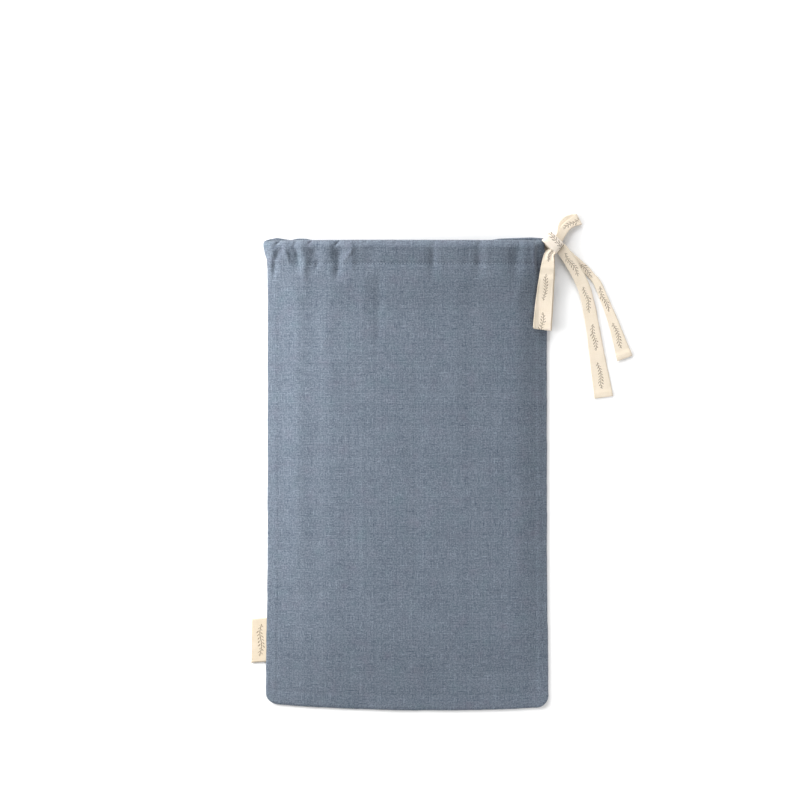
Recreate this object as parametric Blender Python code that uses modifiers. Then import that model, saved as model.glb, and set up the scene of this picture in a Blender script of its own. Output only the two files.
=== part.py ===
"""A drawstring bread bag of washed linen, lying on its back with its mouth towards +Y.

Two cloth panels, each with its own folded casing hem at the mouth, a cotton tape that runs
through both casings and is tied in a bow at the right end, and a label in the left side seam.
Units are metres, +Z is up, and the origin is the middle of the underside of the bag.
"""

from collections import namedtuple
from math import cos, pi, radians, sin

import bmesh
import bpy
import numpy as np
from mathutils import Matrix, Vector

# Cloth and tape.
CLOTH = 0.0012  # thickness of one layer of linen
TAPE = 0.0010  # thickness of the cotton tape
TAPE_WIDTH = 0.018
GAP = 0.0003  # room between neighbouring pieces
CASING_ROOM = 0.0010  # room on each side of the tape inside a casing

# The bag.
BAG_TOP = 0.2494  # folded edge of the front casing
BAG_BOTTOM = -0.2497  # lowest point of the bottom seam
BOTTOM_BOW = 0.0063  # how far the bottom seam rises at the left corner
BOTTOM_BOW_CENTRE = 0.028
BOTTOM_BOW_HALF = 0.166
BOTTOM_BOW_FADE = 0.080  # how far up the panels the bow dies out
CORNER = 0.012  # radius of the turned bottom corners
STITCH_LINE = 0.2244  # seam that closes the casing
HEM_EDGE = 0.2206  # turned-in edge of the hem, below the stitching
SEAM_START = 0.195  # where the layers begin to part towards the casing
CASING_START = 0.2272  # from here up the casing has its full depth
LIFT_END = 0.2454  # from here up the back stands over the front's folded edge

# Heights of the middle of each layer.
BACK_FLAT = CLOTH / 2
FRONT_FLAT = BACK_FLAT + CLOTH + GAP
CASING_DEPTH = CLOTH + TAPE + 2 * CASING_ROOM  # outer layer to inner layer
HEM_DEPTH = CLOTH + 0.0010  # the same at the stitch line
FRONT_CASING = BACK_FLAT + 2 * (CASING_DEPTH + CLOTH / 2) + GAP
FOLD_RADIUS = CASING_DEPTH / 2

# The fullness of the front: how high it stands over its seams, and how fast it rises.
SIDE_RISE = 0.060
BOTTOM_RISE = 0.095
FLAT_EDGE = 0.004
# The left end of the casing, where both panels curl towards each other round the tape.
CURL = 0.0060
CURL_STOPS = (0.0, 0.16, 0.5, 1.0)  # parts of the curl that have a column of points

Row = namedtuple("Row", "along value")
Side = namedtuple("Side", "along left right")
Fold = namedtuple("Fold", "across height width top bottom")
Station = namedtuple("Station", "x y z width across")

FULLNESS = [
    Row(-0.250, 0.0080),
    Row(-0.110, 0.0105),
    Row(0.040, 0.0130),
    Row(0.170, 0.0150),
    Row(0.250, 0.0160),
]

FRONT_SIDES = [
    Side(-0.250, -0.1507, 0.1496),
    Side(-0.200, -0.1504, 0.1496),
    Side(-0.150, -0.1496, 0.1488),
    Side(-0.100, -0.1488, 0.1482),
    Side(0.207, -0.1486, 0.1480),
    Side(0.213, -0.1486, 0.1425),
    Side(0.219, -0.1487, 0.1375),
    Side(0.232, -0.1496, 0.1368),
    Side(0.239, -0.1516, 0.1370),
    Side(0.247, -0.1512, 0.1372),
    Side(0.251, -0.1496, 0.1368),
]

BACK_SIDES = [
    Side(-0.250, -0.1507, 0.1496),
    Side(-0.200, -0.1504, 0.1496),
    Side(-0.150, -0.1496, 0.1488),
    Side(-0.100, -0.1488, 0.1482),
    Side(0.219, -0.1487, 0.1478),
    Side(0.232, -0.1496, 0.1470),
    Side(0.239, -0.1516, 0.1462),
    Side(0.247, -0.1512, 0.1428),
    Side(0.253, -0.1496, 0.1385),
]

# The gathers of the casing and the soft folds that run down from them.
GATHERS = [
    Fold(-0.136, -0.0012, 0.0045, 0.270, 0.205),
    Fold(-0.128, 0.0015, 0.0045, 0.270, 0.200),
    Fold(-0.119, -0.0022, 0.0045, 0.270, 0.205),
    Fold(-0.110, 0.0016, 0.0045, 0.270, 0.205),
    Fold(-0.101, -0.0024, 0.0050, 0.270, 0.190),
    Fold(-0.074, -0.0028, 0.0065, 0.270, 0.190),
    Fold(-0.024, -0.0018, 0.0075, 0.270, 0.205),
    Fold(0.027, -0.0016, 0.0075, 0.270, 0.205),
    Fold(0.075, -0.0018, 0.0075, 0.270, 0.205),
    Fold(0.112, -0.0024, 0.0090, 0.270, 0.195),
]
DRAPES = [
    Fold(-0.121, 0.0026, 0.0100, 0.205, -0.120),
    Fold(-0.088, 0.0012, 0.0140, 0.200, 0.090),
    Fold(-0.031, -0.0009, 0.0080, 0.205, 0.130),
]
FADE = 0.030  # length over which a fold dies out
CASING_LEFT = FRONT_SIDES[-2].left  # the gathers' places hold where the left side is here

BACK_TOP = [
    Row(-0.152, 0.2500),
    Row(-0.130, 0.2524),
    Row(-0.102, 0.2518),
    Row(-0.070, 0.2492),
    Row(0.070, 0.2492),
    Row(0.098, 0.2522),
    Row(0.130, 0.2532),
    Row(0.148, 0.2520),
]

# The rows and columns of points.
WIDEST_COLUMN = 0.017
NARROWEST_COLUMN = 0.0026
BODY_ROW = 0.033
BACK_BODY_ROW = 0.0495
BACK_COLUMN = 0.021
SEAM_COLUMN = 0.005  # width of the last column, along the right seam
FOLD_ROWS = 5
CASING_ROWS = [0.205, 0.214, 0.2195, STITCH_LINE, CASING_START, 0.2335, 0.240]
HEM_ROWS = [0.240, 0.2335, CASING_START, STITCH_LINE, HEM_EDGE]

# The bow. The knot's long axis runs down to the right.
KNOT_CENTRE = Vector((0.1541, 0.2474, 0.0060))
KNOT_SIZE = (0.0205, 0.0122, 0.0112)
KNOT_TURN = radians(-38.5)
KNOT_ROUND = 0.0026

LEFT_LOOP = [
    Station(0.1540, 0.2391, 0.0022, 0.0080, -38),
    Station(0.1510, 0.2350, 0.0020, 0.0104, -20),
    Station(0.1498, 0.2275, 0.0017, 0.0128, -6),
    Station(0.1487, 0.2130, 0.0014, 0.0150, -5),
    Station(0.1468, 0.1930, 0.0013, 0.0172, -5),
    Station(0.1452, 0.1740, 0.0013, 0.0184, -6),
    Station(0.1438, 0.1580, 0.0013, 0.0190, -7),
    Station(0.1436, 0.1564, 0.0013, 0.0190, -7),
    Station(0.1434, 0.1557, 0.0017, 0.0190, -7),
    Station(0.1431, 0.1552, 0.0025, 0.0190, -7.5),
    Station(0.1428, 0.1557, 0.0033, 0.0190, -7.5),
    Station(0.1426, 0.1564, 0.0037, 0.0190, -7.5),
    Station(0.1427, 0.1582, 0.0037, 0.0190, -7),
    Station(0.1440, 0.1745, 0.0034, 0.0184, -6),
    Station(0.1456, 0.1935, 0.0034, 0.0172, -5),
    Station(0.1474, 0.2135, 0.0035, 0.0150, -5),
    Station(0.1489, 0.2280, 0.0037, 0.0128, -6),
    Station(0.1504, 0.2352, 0.0040, 0.0096, -20),
    Station(0.1541, 0.2392, 0.0040, 0.0076, -38),
]

UPPER_LOOP = [
    Station(0.1602, 0.2509, 0.0030, 0.0080, -38),
    Station(0.1620, 0.2550, 0.0022, 0.0076, -26),
    Station(0.1652, 0.2640, 0.0012, 0.0100, -24),
    Station(0.1715, 0.2702, 0.0009, 0.0135, -50),
    Station(0.1800, 0.2724, 0.0009, 0.0128, -62),
    Station(0.1820, 0.2728, 0.0012, 0.0122, -62),
    Station(0.1826, 0.2729, 0.0019, 0.0120, -62),
    Station(0.1820, 0.2728, 0.0026, 0.0120, -62),
    Station(0.1798, 0.2720, 0.0030, 0.0118, -61),
    Station(0.1728, 0.2688, 0.0032, 0.0098, -52),
    Station(0.1668, 0.2625, 0.0040, 0.0070, -36),
    Station(0.1630, 0.2558, 0.0056, 0.0062, -34),
    Station(0.1603, 0.2510, 0.0062, 0.0066, -38),
]

LONG_TAIL = [
    Station(0.1628, 0.2411, 0.0068, 0.0122, 51.5),
    Station(0.1662, 0.2370, 0.0064, 0.0126, 46),
    Station(0.1752, 0.2238, 0.0048, 0.0132, 38),
    Station(0.1824, 0.2112, 0.0036, 0.0134, 31),
    Station(0.1880, 0.1985, 0.0028, 0.0132, 20),
    Station(0.1930, 0.1794, 0.0018, 0.0139, 14),
    Station(0.1979, 0.1522, 0.0010, 0.0146, 10),
    Station(0.2022, 0.1250, 0.0008, 0.0166, 9),
    Station(0.2066, 0.0985, 0.0008, 0.0188, 8.5),
    Station(0.2088, 0.0840, 0.0008, 0.0198, 8),
]

SHORT_TAIL = [
    Station(0.1628, 0.2411, 0.0036, 0.0110, 51.5),
    Station(0.1682, 0.2358, 0.0031, 0.0112, 47),
    Station(0.1812, 0.2238, 0.0018, 0.0112, 43),
    Station(0.1925, 0.2140, 0.0011, 0.0098, 42),
    Station(0.2012, 0.2045, 0.0009, 0.0094, 37),
    Station(0.2075, 0.1925, 0.0008, 0.0094, 27),
    Station(0.2129, 0.1794, 0.0008, 0.0096, 22),
    Station(0.2180, 0.1658, 0.0008, 0.0108, 20),
    Station(0.2227, 0.1522, 0.0008, 0.0124, 19),
    Station(0.2269, 0.1387, 0.0008, 0.0146, 20),
    Station(0.2311, 0.1253, 0.0008, 0.0172, 21.5),
]

LOOP_OVER = 0.219  # where the left loop clears the end of the front casing
LOOP_DOWN = 0.236
RIBBON_STEPS = 3  # rows between two stations
RIBBON_COLUMNS = 3

# The drawstring inside the casings, and where it comes out to the knot.
STRING_MIDDLE = 0.2365
TURN_CENTRE_INSET = 0.0062  # centre of the tape's turn, from the curled end of the casing
TURNED_IN = 0.0145  # length over which the hem draws in from the ends of the casing
SLIT_EDGE = 0.1372  # right end of the casings, where the tape comes out
HEM_INSET = 0.0088  # how far the inner layers stop short of the curled end
TURN_STEPS = 6
TURN_REACH = 0.0028  # how far the turn stands out past its centre
TURN_ROOM = 0.0004  # from the turn's centre to the first row of a straight run
BACK_STRING = (0.02, 0.96)  # where the run in the back casing starts and ends, as parts of it
BACK_STRING_ROWS = 14
FRONT_EXIT = [
    Station(0.1400, 0.2372, 0.0066, 0.0150, 90),
    Station(0.1436, 0.2396, 0.0064, 0.0120, 110),
    Station(0.1473, 0.2444, 0.0062, 0.0080, 141.5),
]
BACK_EXIT = [
    Station(0.1408, 0.2372, 0.0024, 0.0150, 90),
    Station(0.1440, 0.2398, 0.0028, 0.0120, 110),
    Station(0.1473, 0.2444, 0.0036, 0.0080, 141.5),
]

# The label in the left side seam.
LABEL_OUT = 0.0158
LABEL_TOP = -0.1512
LABEL_LENGTH = 0.0468
LABEL_SKEW = 0.0012
LABEL_DROP = 0.0005
LABEL_ROOM = 0.0004  # between the label and the seam
LABEL_ROWS = [0.0, 0.33, 0.67, 1.0]

LINEN_COLOUR = (0.140, 0.168, 0.208, 1.0)
TAPE_COLOUR = (0.820, 0.720, 0.600, 1.0)
LABEL_COLOUR = (0.680, 0.590, 0.460, 1.0)


def table(rows, along, column):
    """The value of one column of a table at a place along it."""
    return float(np.interp(along, [r.along for r in rows], [getattr(r, column) for r in rows]))


def eased(start, end, value):
    """0 before start, 1 after end and smooth between."""
    t = min(max((value - start) / (end - start), 0.0), 1.0)
    return t * t * (3 - 2 * t)


def rising(distance, reach):
    """How much of the fullness there is this far in from a seam."""
    t = min(max((distance - FLAT_EDGE) / reach, 0.0), 1.0)
    return sin(pi / 2 * t)


def corner_inset(along):
    """How far the turned corner draws the side in, this high in the bag."""
    up = min(max(along - BAG_BOTTOM, 0.0), CORNER)
    return CORNER - (CORNER**2 - (CORNER - up) ** 2) ** 0.5


def across(sides, part, along):
    """The place across the bag for a part from 0, the left seam, to 1, the right seam."""
    left = table(sides, along, "left") + corner_inset(along)
    right = table(sides, along, "right") - corner_inset(along)
    return left + (right - left) * part


def bowed(x, along):
    """The place along the bag, with the bow of its bottom seam."""
    bow = BOTTOM_BOW * ((x - BOTTOM_BOW_CENTRE) / BOTTOM_BOW_HALF) ** 2
    return along + bow * (1 - eased(BAG_BOTTOM, BAG_BOTTOM + BOTTOM_BOW_FADE, along))


def fold_height(folds, x, along):
    """What the folds of a table add to the height at a place."""
    total = 0.0
    for fold in folds:
        reach = eased(fold.bottom - FADE, fold.bottom + FADE, along)
        reach *= 1 - eased(fold.top - FADE / 2, fold.top + FADE / 2, along)
        total += fold.height * reach * np.exp(-(((x - fold.across) / fold.width) ** 2))
    return total


def casing_share(along):
    """0 on the flat body, 1 where the casing has its full depth."""
    return eased(SEAM_START, CASING_START, along)


def curl_drop(from_left, along):
    """How far the end of a casing's outer layer curls towards the other panel."""
    full = ((FRONT_CASING - BACK_FLAT) - (FRONT_FLAT - BACK_FLAT)) / 2
    return full * casing_share(along) * max(0.0, 1 - from_left / CURL) ** 2


def front_height(x, along):
    """The middle of the front panel's outer layer."""
    left = table(FRONT_SIDES, along, "left")
    from_left = max(x - left, 0.0)
    from_side = min(from_left, max(table(BACK_SIDES, along, "right") - x, 0.0))
    rise = rising(from_side, SIDE_RISE) * rising(along - BAG_BOTTOM, BOTTOM_RISE)
    flat = FRONT_FLAT + (FRONT_CASING - FRONT_FLAT) * casing_share(along)
    evened = x * CASING_LEFT / left if x < 0 else x
    folds = fold_height(GATHERS + DRAPES, evened, along) * min(rising(from_side, CORNER) * 1.5, 1.0)
    return flat + table(FULLNESS, along, "value") * rise + folds - curl_drop(from_left, along)


def back_height(x, along):
    """The middle of the back panel's outer layer."""
    return BACK_FLAT + curl_drop(max(x - table(BACK_SIDES, along, "left"), 0.0), along)


def layer_depth(along):
    """From the outer layer of a hem to its inner layer."""
    return HEM_DEPTH + (CASING_DEPTH - HEM_DEPTH) * eased(STITCH_LINE, CASING_START, along)


def front_columns():
    """Places across the front: one on each gather and each of its flanks, and some between."""
    right = FRONT_SIDES[4].right
    stops = [CASING_LEFT + CURL * stop for stop in CURL_STOPS]
    for fold in GATHERS:
        stops += [fold.across - fold.width, fold.across, fold.across + fold.width]
    stops += [right - SEAM_COLUMN, right]
    return filled(stops)


def filled(stops):
    """The stops as parts from 0 to 1, without near doubles and with wide gaps divided."""
    kept = []
    for stop in sorted(stops):
        if len(kept) < len(CURL_STOPS) or stop - kept[-1] >= NARROWEST_COLUMN:
            kept.append(stop)
    kept[-1] = max(stops)
    places = [kept[0]]
    for low, high in zip(kept, kept[1:]):
        pieces = int(np.ceil((high - low) / WIDEST_COLUMN))
        places += [low + (high - low) * (i + 1) / pieces for i in range(pieces)]
    return [(p - places[0]) / (places[-1] - places[0]) for p in places]


def hem_rows(spacing, top):
    """(along, layer) for each row of a panel, from the bottom seam over the fold to the hem's edge.

    A layer of 0 is the outer one and 1 is the inner one.
    """
    corner = [BAG_BOTTOM + CORNER * (1 - cos(radians(a))) for a in (0, 30, 60, 90)]
    count = int(round((SEAM_START - corner[-1]) / spacing))
    body = list(np.linspace(corner[-1], SEAM_START, count + 1))[1:]
    start = top - FOLD_RADIUS
    rows = [(y, 0.0) for y in corner + body + CASING_ROWS + [start]]
    for step in range(1, FOLD_ROWS):
        angle = pi * step / FOLD_ROWS
        rows.append((start + FOLD_RADIUS * sin(angle), (1 - cos(angle)) / 2))
    rows += [(y, 1.0) for y in [start] + HEM_ROWS]
    return rows


def material(name, colour):
    """A matt cloth of one colour."""
    made = bpy.data.materials.new(name)
    made.use_nodes = True
    shader = made.node_tree.nodes["Principled BSDF"]
    shader.inputs["Base Color"].default_value = colour
    shader.inputs["Roughness"].default_value = 0.9
    shader.inputs["Metallic"].default_value = 0.0
    return made


def add_object(name, bm, look, thickness=None):
    """Puts a mesh in the bag's collection, as a shell of this thickness where one is given."""
    mesh = bpy.data.meshes.new(name)
    bmesh.ops.recalc_face_normals(bm, faces=bm.faces)
    bm.to_mesh(mesh)
    bm.free()
    mesh.shade_smooth()
    mesh.materials.append(look)
    made = bpy.data.objects.new(name, mesh)
    bpy.data.collections["linen_bread_bag"].objects.link(made)
    if thickness:
        shell = made.modifiers.new("Thickness", "SOLIDIFY")
        shell.thickness = thickness
        shell.offset = 0.0
    return made


def sheet(name, columns, rows, place, look, thickness):
    """A cloth of one layer, from a grid whose points place(column, row) puts where they belong."""
    bm = bmesh.new()
    bmesh.ops.create_grid(bm, x_segments=len(columns) - 1, y_segments=len(rows) - 1, size=0.5)
    for vert in bm.verts:
        column = round((vert.co.x + 0.5) * (len(columns) - 1))
        row = round((vert.co.y + 0.5) * (len(rows) - 1))
        vert.co = place(columns[column], rows[row])
    return add_object(name, bm, look, thickness)


def front_panel(look):
    """The front, gathered on the tape and full over the pocket."""

    def place(part, row):
        along, layer = row
        x = across(FRONT_SIDES, part, along)
        from_left = x - table(FRONT_SIDES, along, "left")
        x += HEM_INSET * max(0.0, 1 - from_left / TURNED_IN) * layer
        z = front_height(max(x, table(FRONT_SIDES, along, "left") + CURL * layer), along)
        return Vector((x, bowed(x, along), z - layer_depth(along) * layer))

    sheet("front_panel", front_columns(), hem_rows(BODY_ROW, BAG_TOP), place, look, CLOTH)


def back_panel(look):
    """The back, flat on the surface."""
    width = BACK_SIDES[4].right - BACK_SIDES[4].left
    count = int(round(width / BACK_COLUMN))
    ends = [CURL * stop / width for stop in CURL_STOPS]
    columns = ends + list(np.linspace(0, 1, count + 1))[1:]

    def place(part, row):
        along, layer = row
        left, right = (table(BACK_SIDES, along, side) for side in ("left", "right"))
        x = across(BACK_SIDES, part, along)
        x += HEM_INSET * max(0.0, 1 - (x - left) / TURNED_IN) * layer
        x -= (right - SLIT_EDGE) * max(0.0, 1 - (right - x) / TURNED_IN) * layer
        z = back_height(max(x, table(BACK_SIDES, along, "left") + CURL * layer), along)
        lifted = (table(BACK_TOP, x, "value") - BAG_TOP) * eased(CASING_START, LIFT_END, along)
        return Vector((x, bowed(x, along) + lifted, z + layer_depth(along) * layer))

    sheet("back_panel", columns, hem_rows(BACK_BODY_ROW, BAG_TOP), place, look, CLOTH)


def smooth_line(points, steps):
    """A centripetal Catmull-Rom curve through stations, with this many steps between two."""
    rows = np.array(points, float)
    rows = np.vstack([2 * rows[0] - rows[1], rows, 2 * rows[-1] - rows[-2]])
    spans = np.linalg.norm(np.diff(rows[:, :3], axis=0), axis=1) ** 0.5
    knots = np.concatenate([[0.0], np.cumsum(spans)])
    line = []
    for i in range(1, len(rows) - 2):
        k, p = knots[i - 1 : i + 3], rows[i - 1 : i + 3]
        for t in np.linspace(k[1], k[2], steps, endpoint=False):
            a = [blended(p[j], p[j + 1], k[j], k[j + 1], t) for j in range(3)]
            b = [blended(a[j], a[j + 1], k[j], k[j + 2], t) for j in range(2)]
            line.append(blended(b[0], b[1], k[1], k[2], t))
    return line + [rows[-2]]


def blended(first, second, start, end, t):
    """The mix of two rows at t between their knots."""
    return (first * (end - t) + second * (t - start)) / (end - start)


def surface(x, y):
    """The surface that the bag lies on."""
    return 0.0


def over_the_front(x, y):
    """The top of the front panel, carried on level past its right edge and down to the knot."""
    along = min(y, LOOP_OVER)
    inside = min(x, table(FRONT_SIDES, along, "right"))
    down = eased(LOOP_OVER, LOOP_DOWN, y)
    return (front_height(inside, along) + CLOTH / 2) * (1 - down) + KNOT_CENTRE.z * down


def ribbon(name, stations, bed, look, steps=RIBBON_STEPS):
    """A length of tape through its stations, whose heights are over the bed."""

    def place(side, row):
        x, y, z, width, turn = row
        point = Vector((x, y, 0)) + Vector((cos(radians(turn)), sin(radians(turn)), 0)) * width * side
        point.z = z + bed(point.x, point.y)
        return point

    sides = list(np.linspace(-0.5, 0.5, RIBBON_COLUMNS))
    return sheet(name, sides, smooth_line(stations, steps), place, look, TAPE)


def drawstring(look):
    """The tape through both casings, round their left end and out to the knot."""
    parts = front_columns()[4:]
    to_string = CLOTH / 2 + CASING_ROOM + TAPE / 2
    low = BACK_FLAT + to_string
    rows = []
    for station in reversed(FRONT_EXIT):
        rows.append(("exit", station))
    for part in reversed(parts):
        rows.append(("front", part))
    for step in range(1, TURN_STEPS):
        rows.append(("turn", pi * step / TURN_STEPS))
    for part in np.linspace(*BACK_STRING, BACK_STRING_ROWS):
        rows.append(("back", part))
    for station in BACK_EXIT:
        rows.append(("exit", station))

    def place(side, row):
        kind, value = row
        y = STRING_MIDDLE + side * TAPE_WIDTH
        if kind == "exit":
            turn = radians(value.across)
            x = value.x + cos(turn) * value.width * side
            return Vector((x, value.y + sin(turn) * value.width * side, value.z))
        turn_centre = table(FRONT_SIDES, y, "left") + TURN_CENTRE_INSET
        if kind == "turn":
            high = front_height(turn_centre, y) - to_string
            z = (high + low) / 2 + (high - low) / 2 * cos(value)
            return Vector((turn_centre - TURN_REACH * sin(value), y, z))
        sides = FRONT_SIDES if kind == "front" else BACK_SIDES
        x = max(across(sides, value, y), turn_centre + TURN_ROOM)
        if kind == "front":
            return Vector((x, y, front_height(max(x, turn_centre), y) - to_string))
        return Vector((x, y, low))

    sheet("drawstring", list(np.linspace(-0.5, 0.5, 3)), rows, place, look, TAPE)


def knot(look):
    """The tape wrapped round the crossing of the bow."""
    bm = bmesh.new()
    bmesh.ops.create_cube(bm, size=1.0)
    bmesh.ops.scale(bm, verts=bm.verts, vec=KNOT_SIZE)
    bmesh.ops.rotate(bm, verts=bm.verts, matrix=Matrix.Rotation(KNOT_TURN, 3, "Z"))
    bmesh.ops.translate(bm, verts=bm.verts, vec=KNOT_CENTRE)
    made = add_object("bow_knot", bm, look)
    rounded = made.modifiers.new("Rounded", "BEVEL")
    rounded.width = KNOT_ROUND
    rounded.segments = 3


def side_label(look):
    """The label sewn into the left side seam near the bottom."""

    def place(out, down):
        y = LABEL_TOP - LABEL_LENGTH * down - LABEL_SKEW * out
        seam = table(FRONT_SIDES, y, "left") - LABEL_ROOM
        z = (FRONT_FLAT + BACK_FLAT) / 2 - LABEL_DROP * out
        return Vector((seam - LABEL_OUT * out, y, z))

    sheet("side_label", [0.0, 0.5, 1.0], LABEL_ROWS, place, look, TAPE)


def main():
    """Builds the bag's nine pieces in an empty scene."""
    for thing in list(bpy.data.objects):
        bpy.data.objects.remove(thing, do_unlink=True)
    collection = bpy.data.collections.new("linen_bread_bag")
    bpy.context.scene.collection.children.link(collection)
    linen = material("linen", LINEN_COLOUR)
    cotton = material("cotton_tape", TAPE_COLOUR)
    front_panel(linen)
    back_panel(linen)
    drawstring(cotton)
    knot(cotton)
    ribbon("bow_loop_left", LEFT_LOOP, over_the_front, cotton, steps=2)
    ribbon("bow_loop_upper", UPPER_LOOP, surface, cotton, steps=2)
    ribbon("tail_long", LONG_TAIL, surface, cotton)
    ribbon("tail_short", SHORT_TAIL, surface, cotton)
    side_label(material("label_cloth", LABEL_COLOUR))


main()
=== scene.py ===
"""The looks of a drawstring bread bag of washed linen, built around its packed frame.

The bag lies on its back with its mouth towards +Y. Lengths are metres, +Z is up and the origin
is the middle of the underside, as in the frame. Every piece rides on the one body, "root".
"""

import logging
from collections.abc import Callable, Sequence
from dataclasses import dataclass, replace
from enum import Enum
from math import atan2, cos, pi, radians, sin
from typing import Any, NamedTuple

import bmesh
import bpy
import numpy as np
from mathutils import Matrix, Vector


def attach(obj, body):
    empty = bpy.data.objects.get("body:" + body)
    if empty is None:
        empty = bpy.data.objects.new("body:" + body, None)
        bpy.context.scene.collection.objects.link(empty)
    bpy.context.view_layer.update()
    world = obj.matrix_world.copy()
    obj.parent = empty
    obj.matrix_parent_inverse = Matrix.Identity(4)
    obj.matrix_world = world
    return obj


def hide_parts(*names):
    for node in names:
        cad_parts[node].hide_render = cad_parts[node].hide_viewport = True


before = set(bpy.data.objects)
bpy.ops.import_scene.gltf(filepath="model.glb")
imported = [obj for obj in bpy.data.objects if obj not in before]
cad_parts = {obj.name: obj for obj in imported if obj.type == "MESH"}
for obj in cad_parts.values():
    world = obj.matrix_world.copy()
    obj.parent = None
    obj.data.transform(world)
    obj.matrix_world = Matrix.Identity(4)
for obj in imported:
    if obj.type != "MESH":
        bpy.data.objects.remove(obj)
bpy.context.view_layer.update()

logging.basicConfig(level=logging.INFO, format="%(message)s")
LOG = logging.getLogger("bread_bag")

Array = np.ndarray
Colour = tuple[float, float, float]

BODY = "root"
WEAVE_MAP = "weave"  # the UV map of every piece, in metres along the cloth
CLEARANCE = 0.00005  # the least room between the cloth and the surface that it lies on


class Slot(Enum):
    """The record's material slots."""

    LINEN = "linen"
    TAPE = "cotton_tape"
    LABEL = "label_cloth"


class Held(Enum):
    """How a sheet of cloth is held."""

    LAID = "laid"
    FOLDED = "folded"
    GATHERED = "gathered"


class Row(NamedTuple):
    """A value at a place along the bag."""

    along: float
    value: float


class Side(NamedTuple):
    """The left and right edge of a panel at a place along the bag."""

    along: float
    left: float
    right: float


class Fold(NamedTuple):
    """A soft fold that runs along the bag, a trough where its height is negative."""

    across: float
    height: float
    width: float
    top: float
    bottom: float


class Crease(NamedTuple):
    """A short ridge or trough: its middle, half width, half length, lean from +Y and height."""

    x: float
    y: float
    width: float
    length: float
    lean: float
    height: float


class Station(NamedTuple):
    """A place on a tape's middle line, its width there and its direction across."""

    x: float
    y: float
    z: float
    width: float
    across: float


# ---------------------------------------------------------------------------------------------
# Numbers over whole arrays


def table(kind: type, *rows: Sequence[float]) -> tuple[Any, ...]:
    """A table of rows of one kind, whose columns have its fields' names."""
    return tuple(kind(*row) for row in rows)


def column(rows: Sequence[Any], along: Array, name: str) -> Array:
    """One column of a table, read at places along it."""
    return np.interp(along, [r.along for r in rows], [getattr(r, name) for r in rows])


def eased(start: float, end: float, value: Array) -> Array:
    """Eases from 0 at start to 1 at end."""
    t = np.clip((value - start) / (end - start), 0.0, 1.0)
    return t * t * (3 - 2 * t)


def bump(distance: Array, reach: float) -> Array:
    """A soft bump, 1 in the middle and next to nothing past its reach."""
    return np.exp(-((distance / reach) ** 2))


def ripple(value: Array, seed: int, period: float) -> Array:
    """A smooth uneven line between -1 and 1, made from a few waves of unlike length.

    Args:
        value: The places along the line.
        seed: Which line.
        period: The length of the longest wave.

    Returns:
        The line's height at each place.
    """
    rng = np.random.default_rng(seed)
    total = np.zeros_like(np.asarray(value, float))
    for order, phase in enumerate(rng.uniform(0, 2 * pi, 5)):
        total += np.sin(2 * pi * value / period * 1.62**order + phase) / 1.3**order
    return total / 3.0


def smooth_line(stations: Sequence[Station], steps: int) -> Array:
    """A centripetal Catmull-Rom curve through stations.

    Args:
        stations: The stations, each a row of numbers.
        steps: Steps between two stations.

    Returns:
        One row of numbers for each step.
    """
    rows = np.array(stations, float)
    rows = np.vstack([2 * rows[0] - rows[1], rows, 2 * rows[-1] - rows[-2]])
    spans = np.linalg.norm(np.diff(rows[:, :3], axis=0), axis=1) ** 0.5
    knots = np.concatenate([[0.0], np.cumsum(spans)])
    line = []
    for i in range(1, len(rows) - 2):
        k, p = knots[i - 1 : i + 3], rows[i - 1 : i + 3]
        for t in np.linspace(k[1], k[2], steps, endpoint=False):
            a = [blended(p[j], p[j + 1], k[j], k[j + 1], t) for j in range(3)]
            b = [blended(a[j], a[j + 1], k[j], k[j + 2], t) for j in range(2)]
            line.append(blended(b[0], b[1], k[1], k[2], t))
    return np.array(line + [rows[-2]])


def row_at(up: Array, count: int) -> Array:
    """The number of the row for places along a grid, from 0 to 1."""
    return np.round(up * (count - 1)).astype(int)


def beside(x: Array, y: Array, turn: Array, reach: Array) -> tuple[Array, Array]:
    """The place that lies this far from another one, in a direction in degrees."""
    return x + np.cos(np.radians(turn)) * reach, y + np.sin(np.radians(turn)) * reach


def blended(first: Array, second: Array, start: float, end: float, t: float) -> Array:
    """The mix of two rows at t between their knots."""
    return (first * (end - t) + second * (t - start)) / (end - start)


# ---------------------------------------------------------------------------------------------
# Shader nodes


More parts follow.
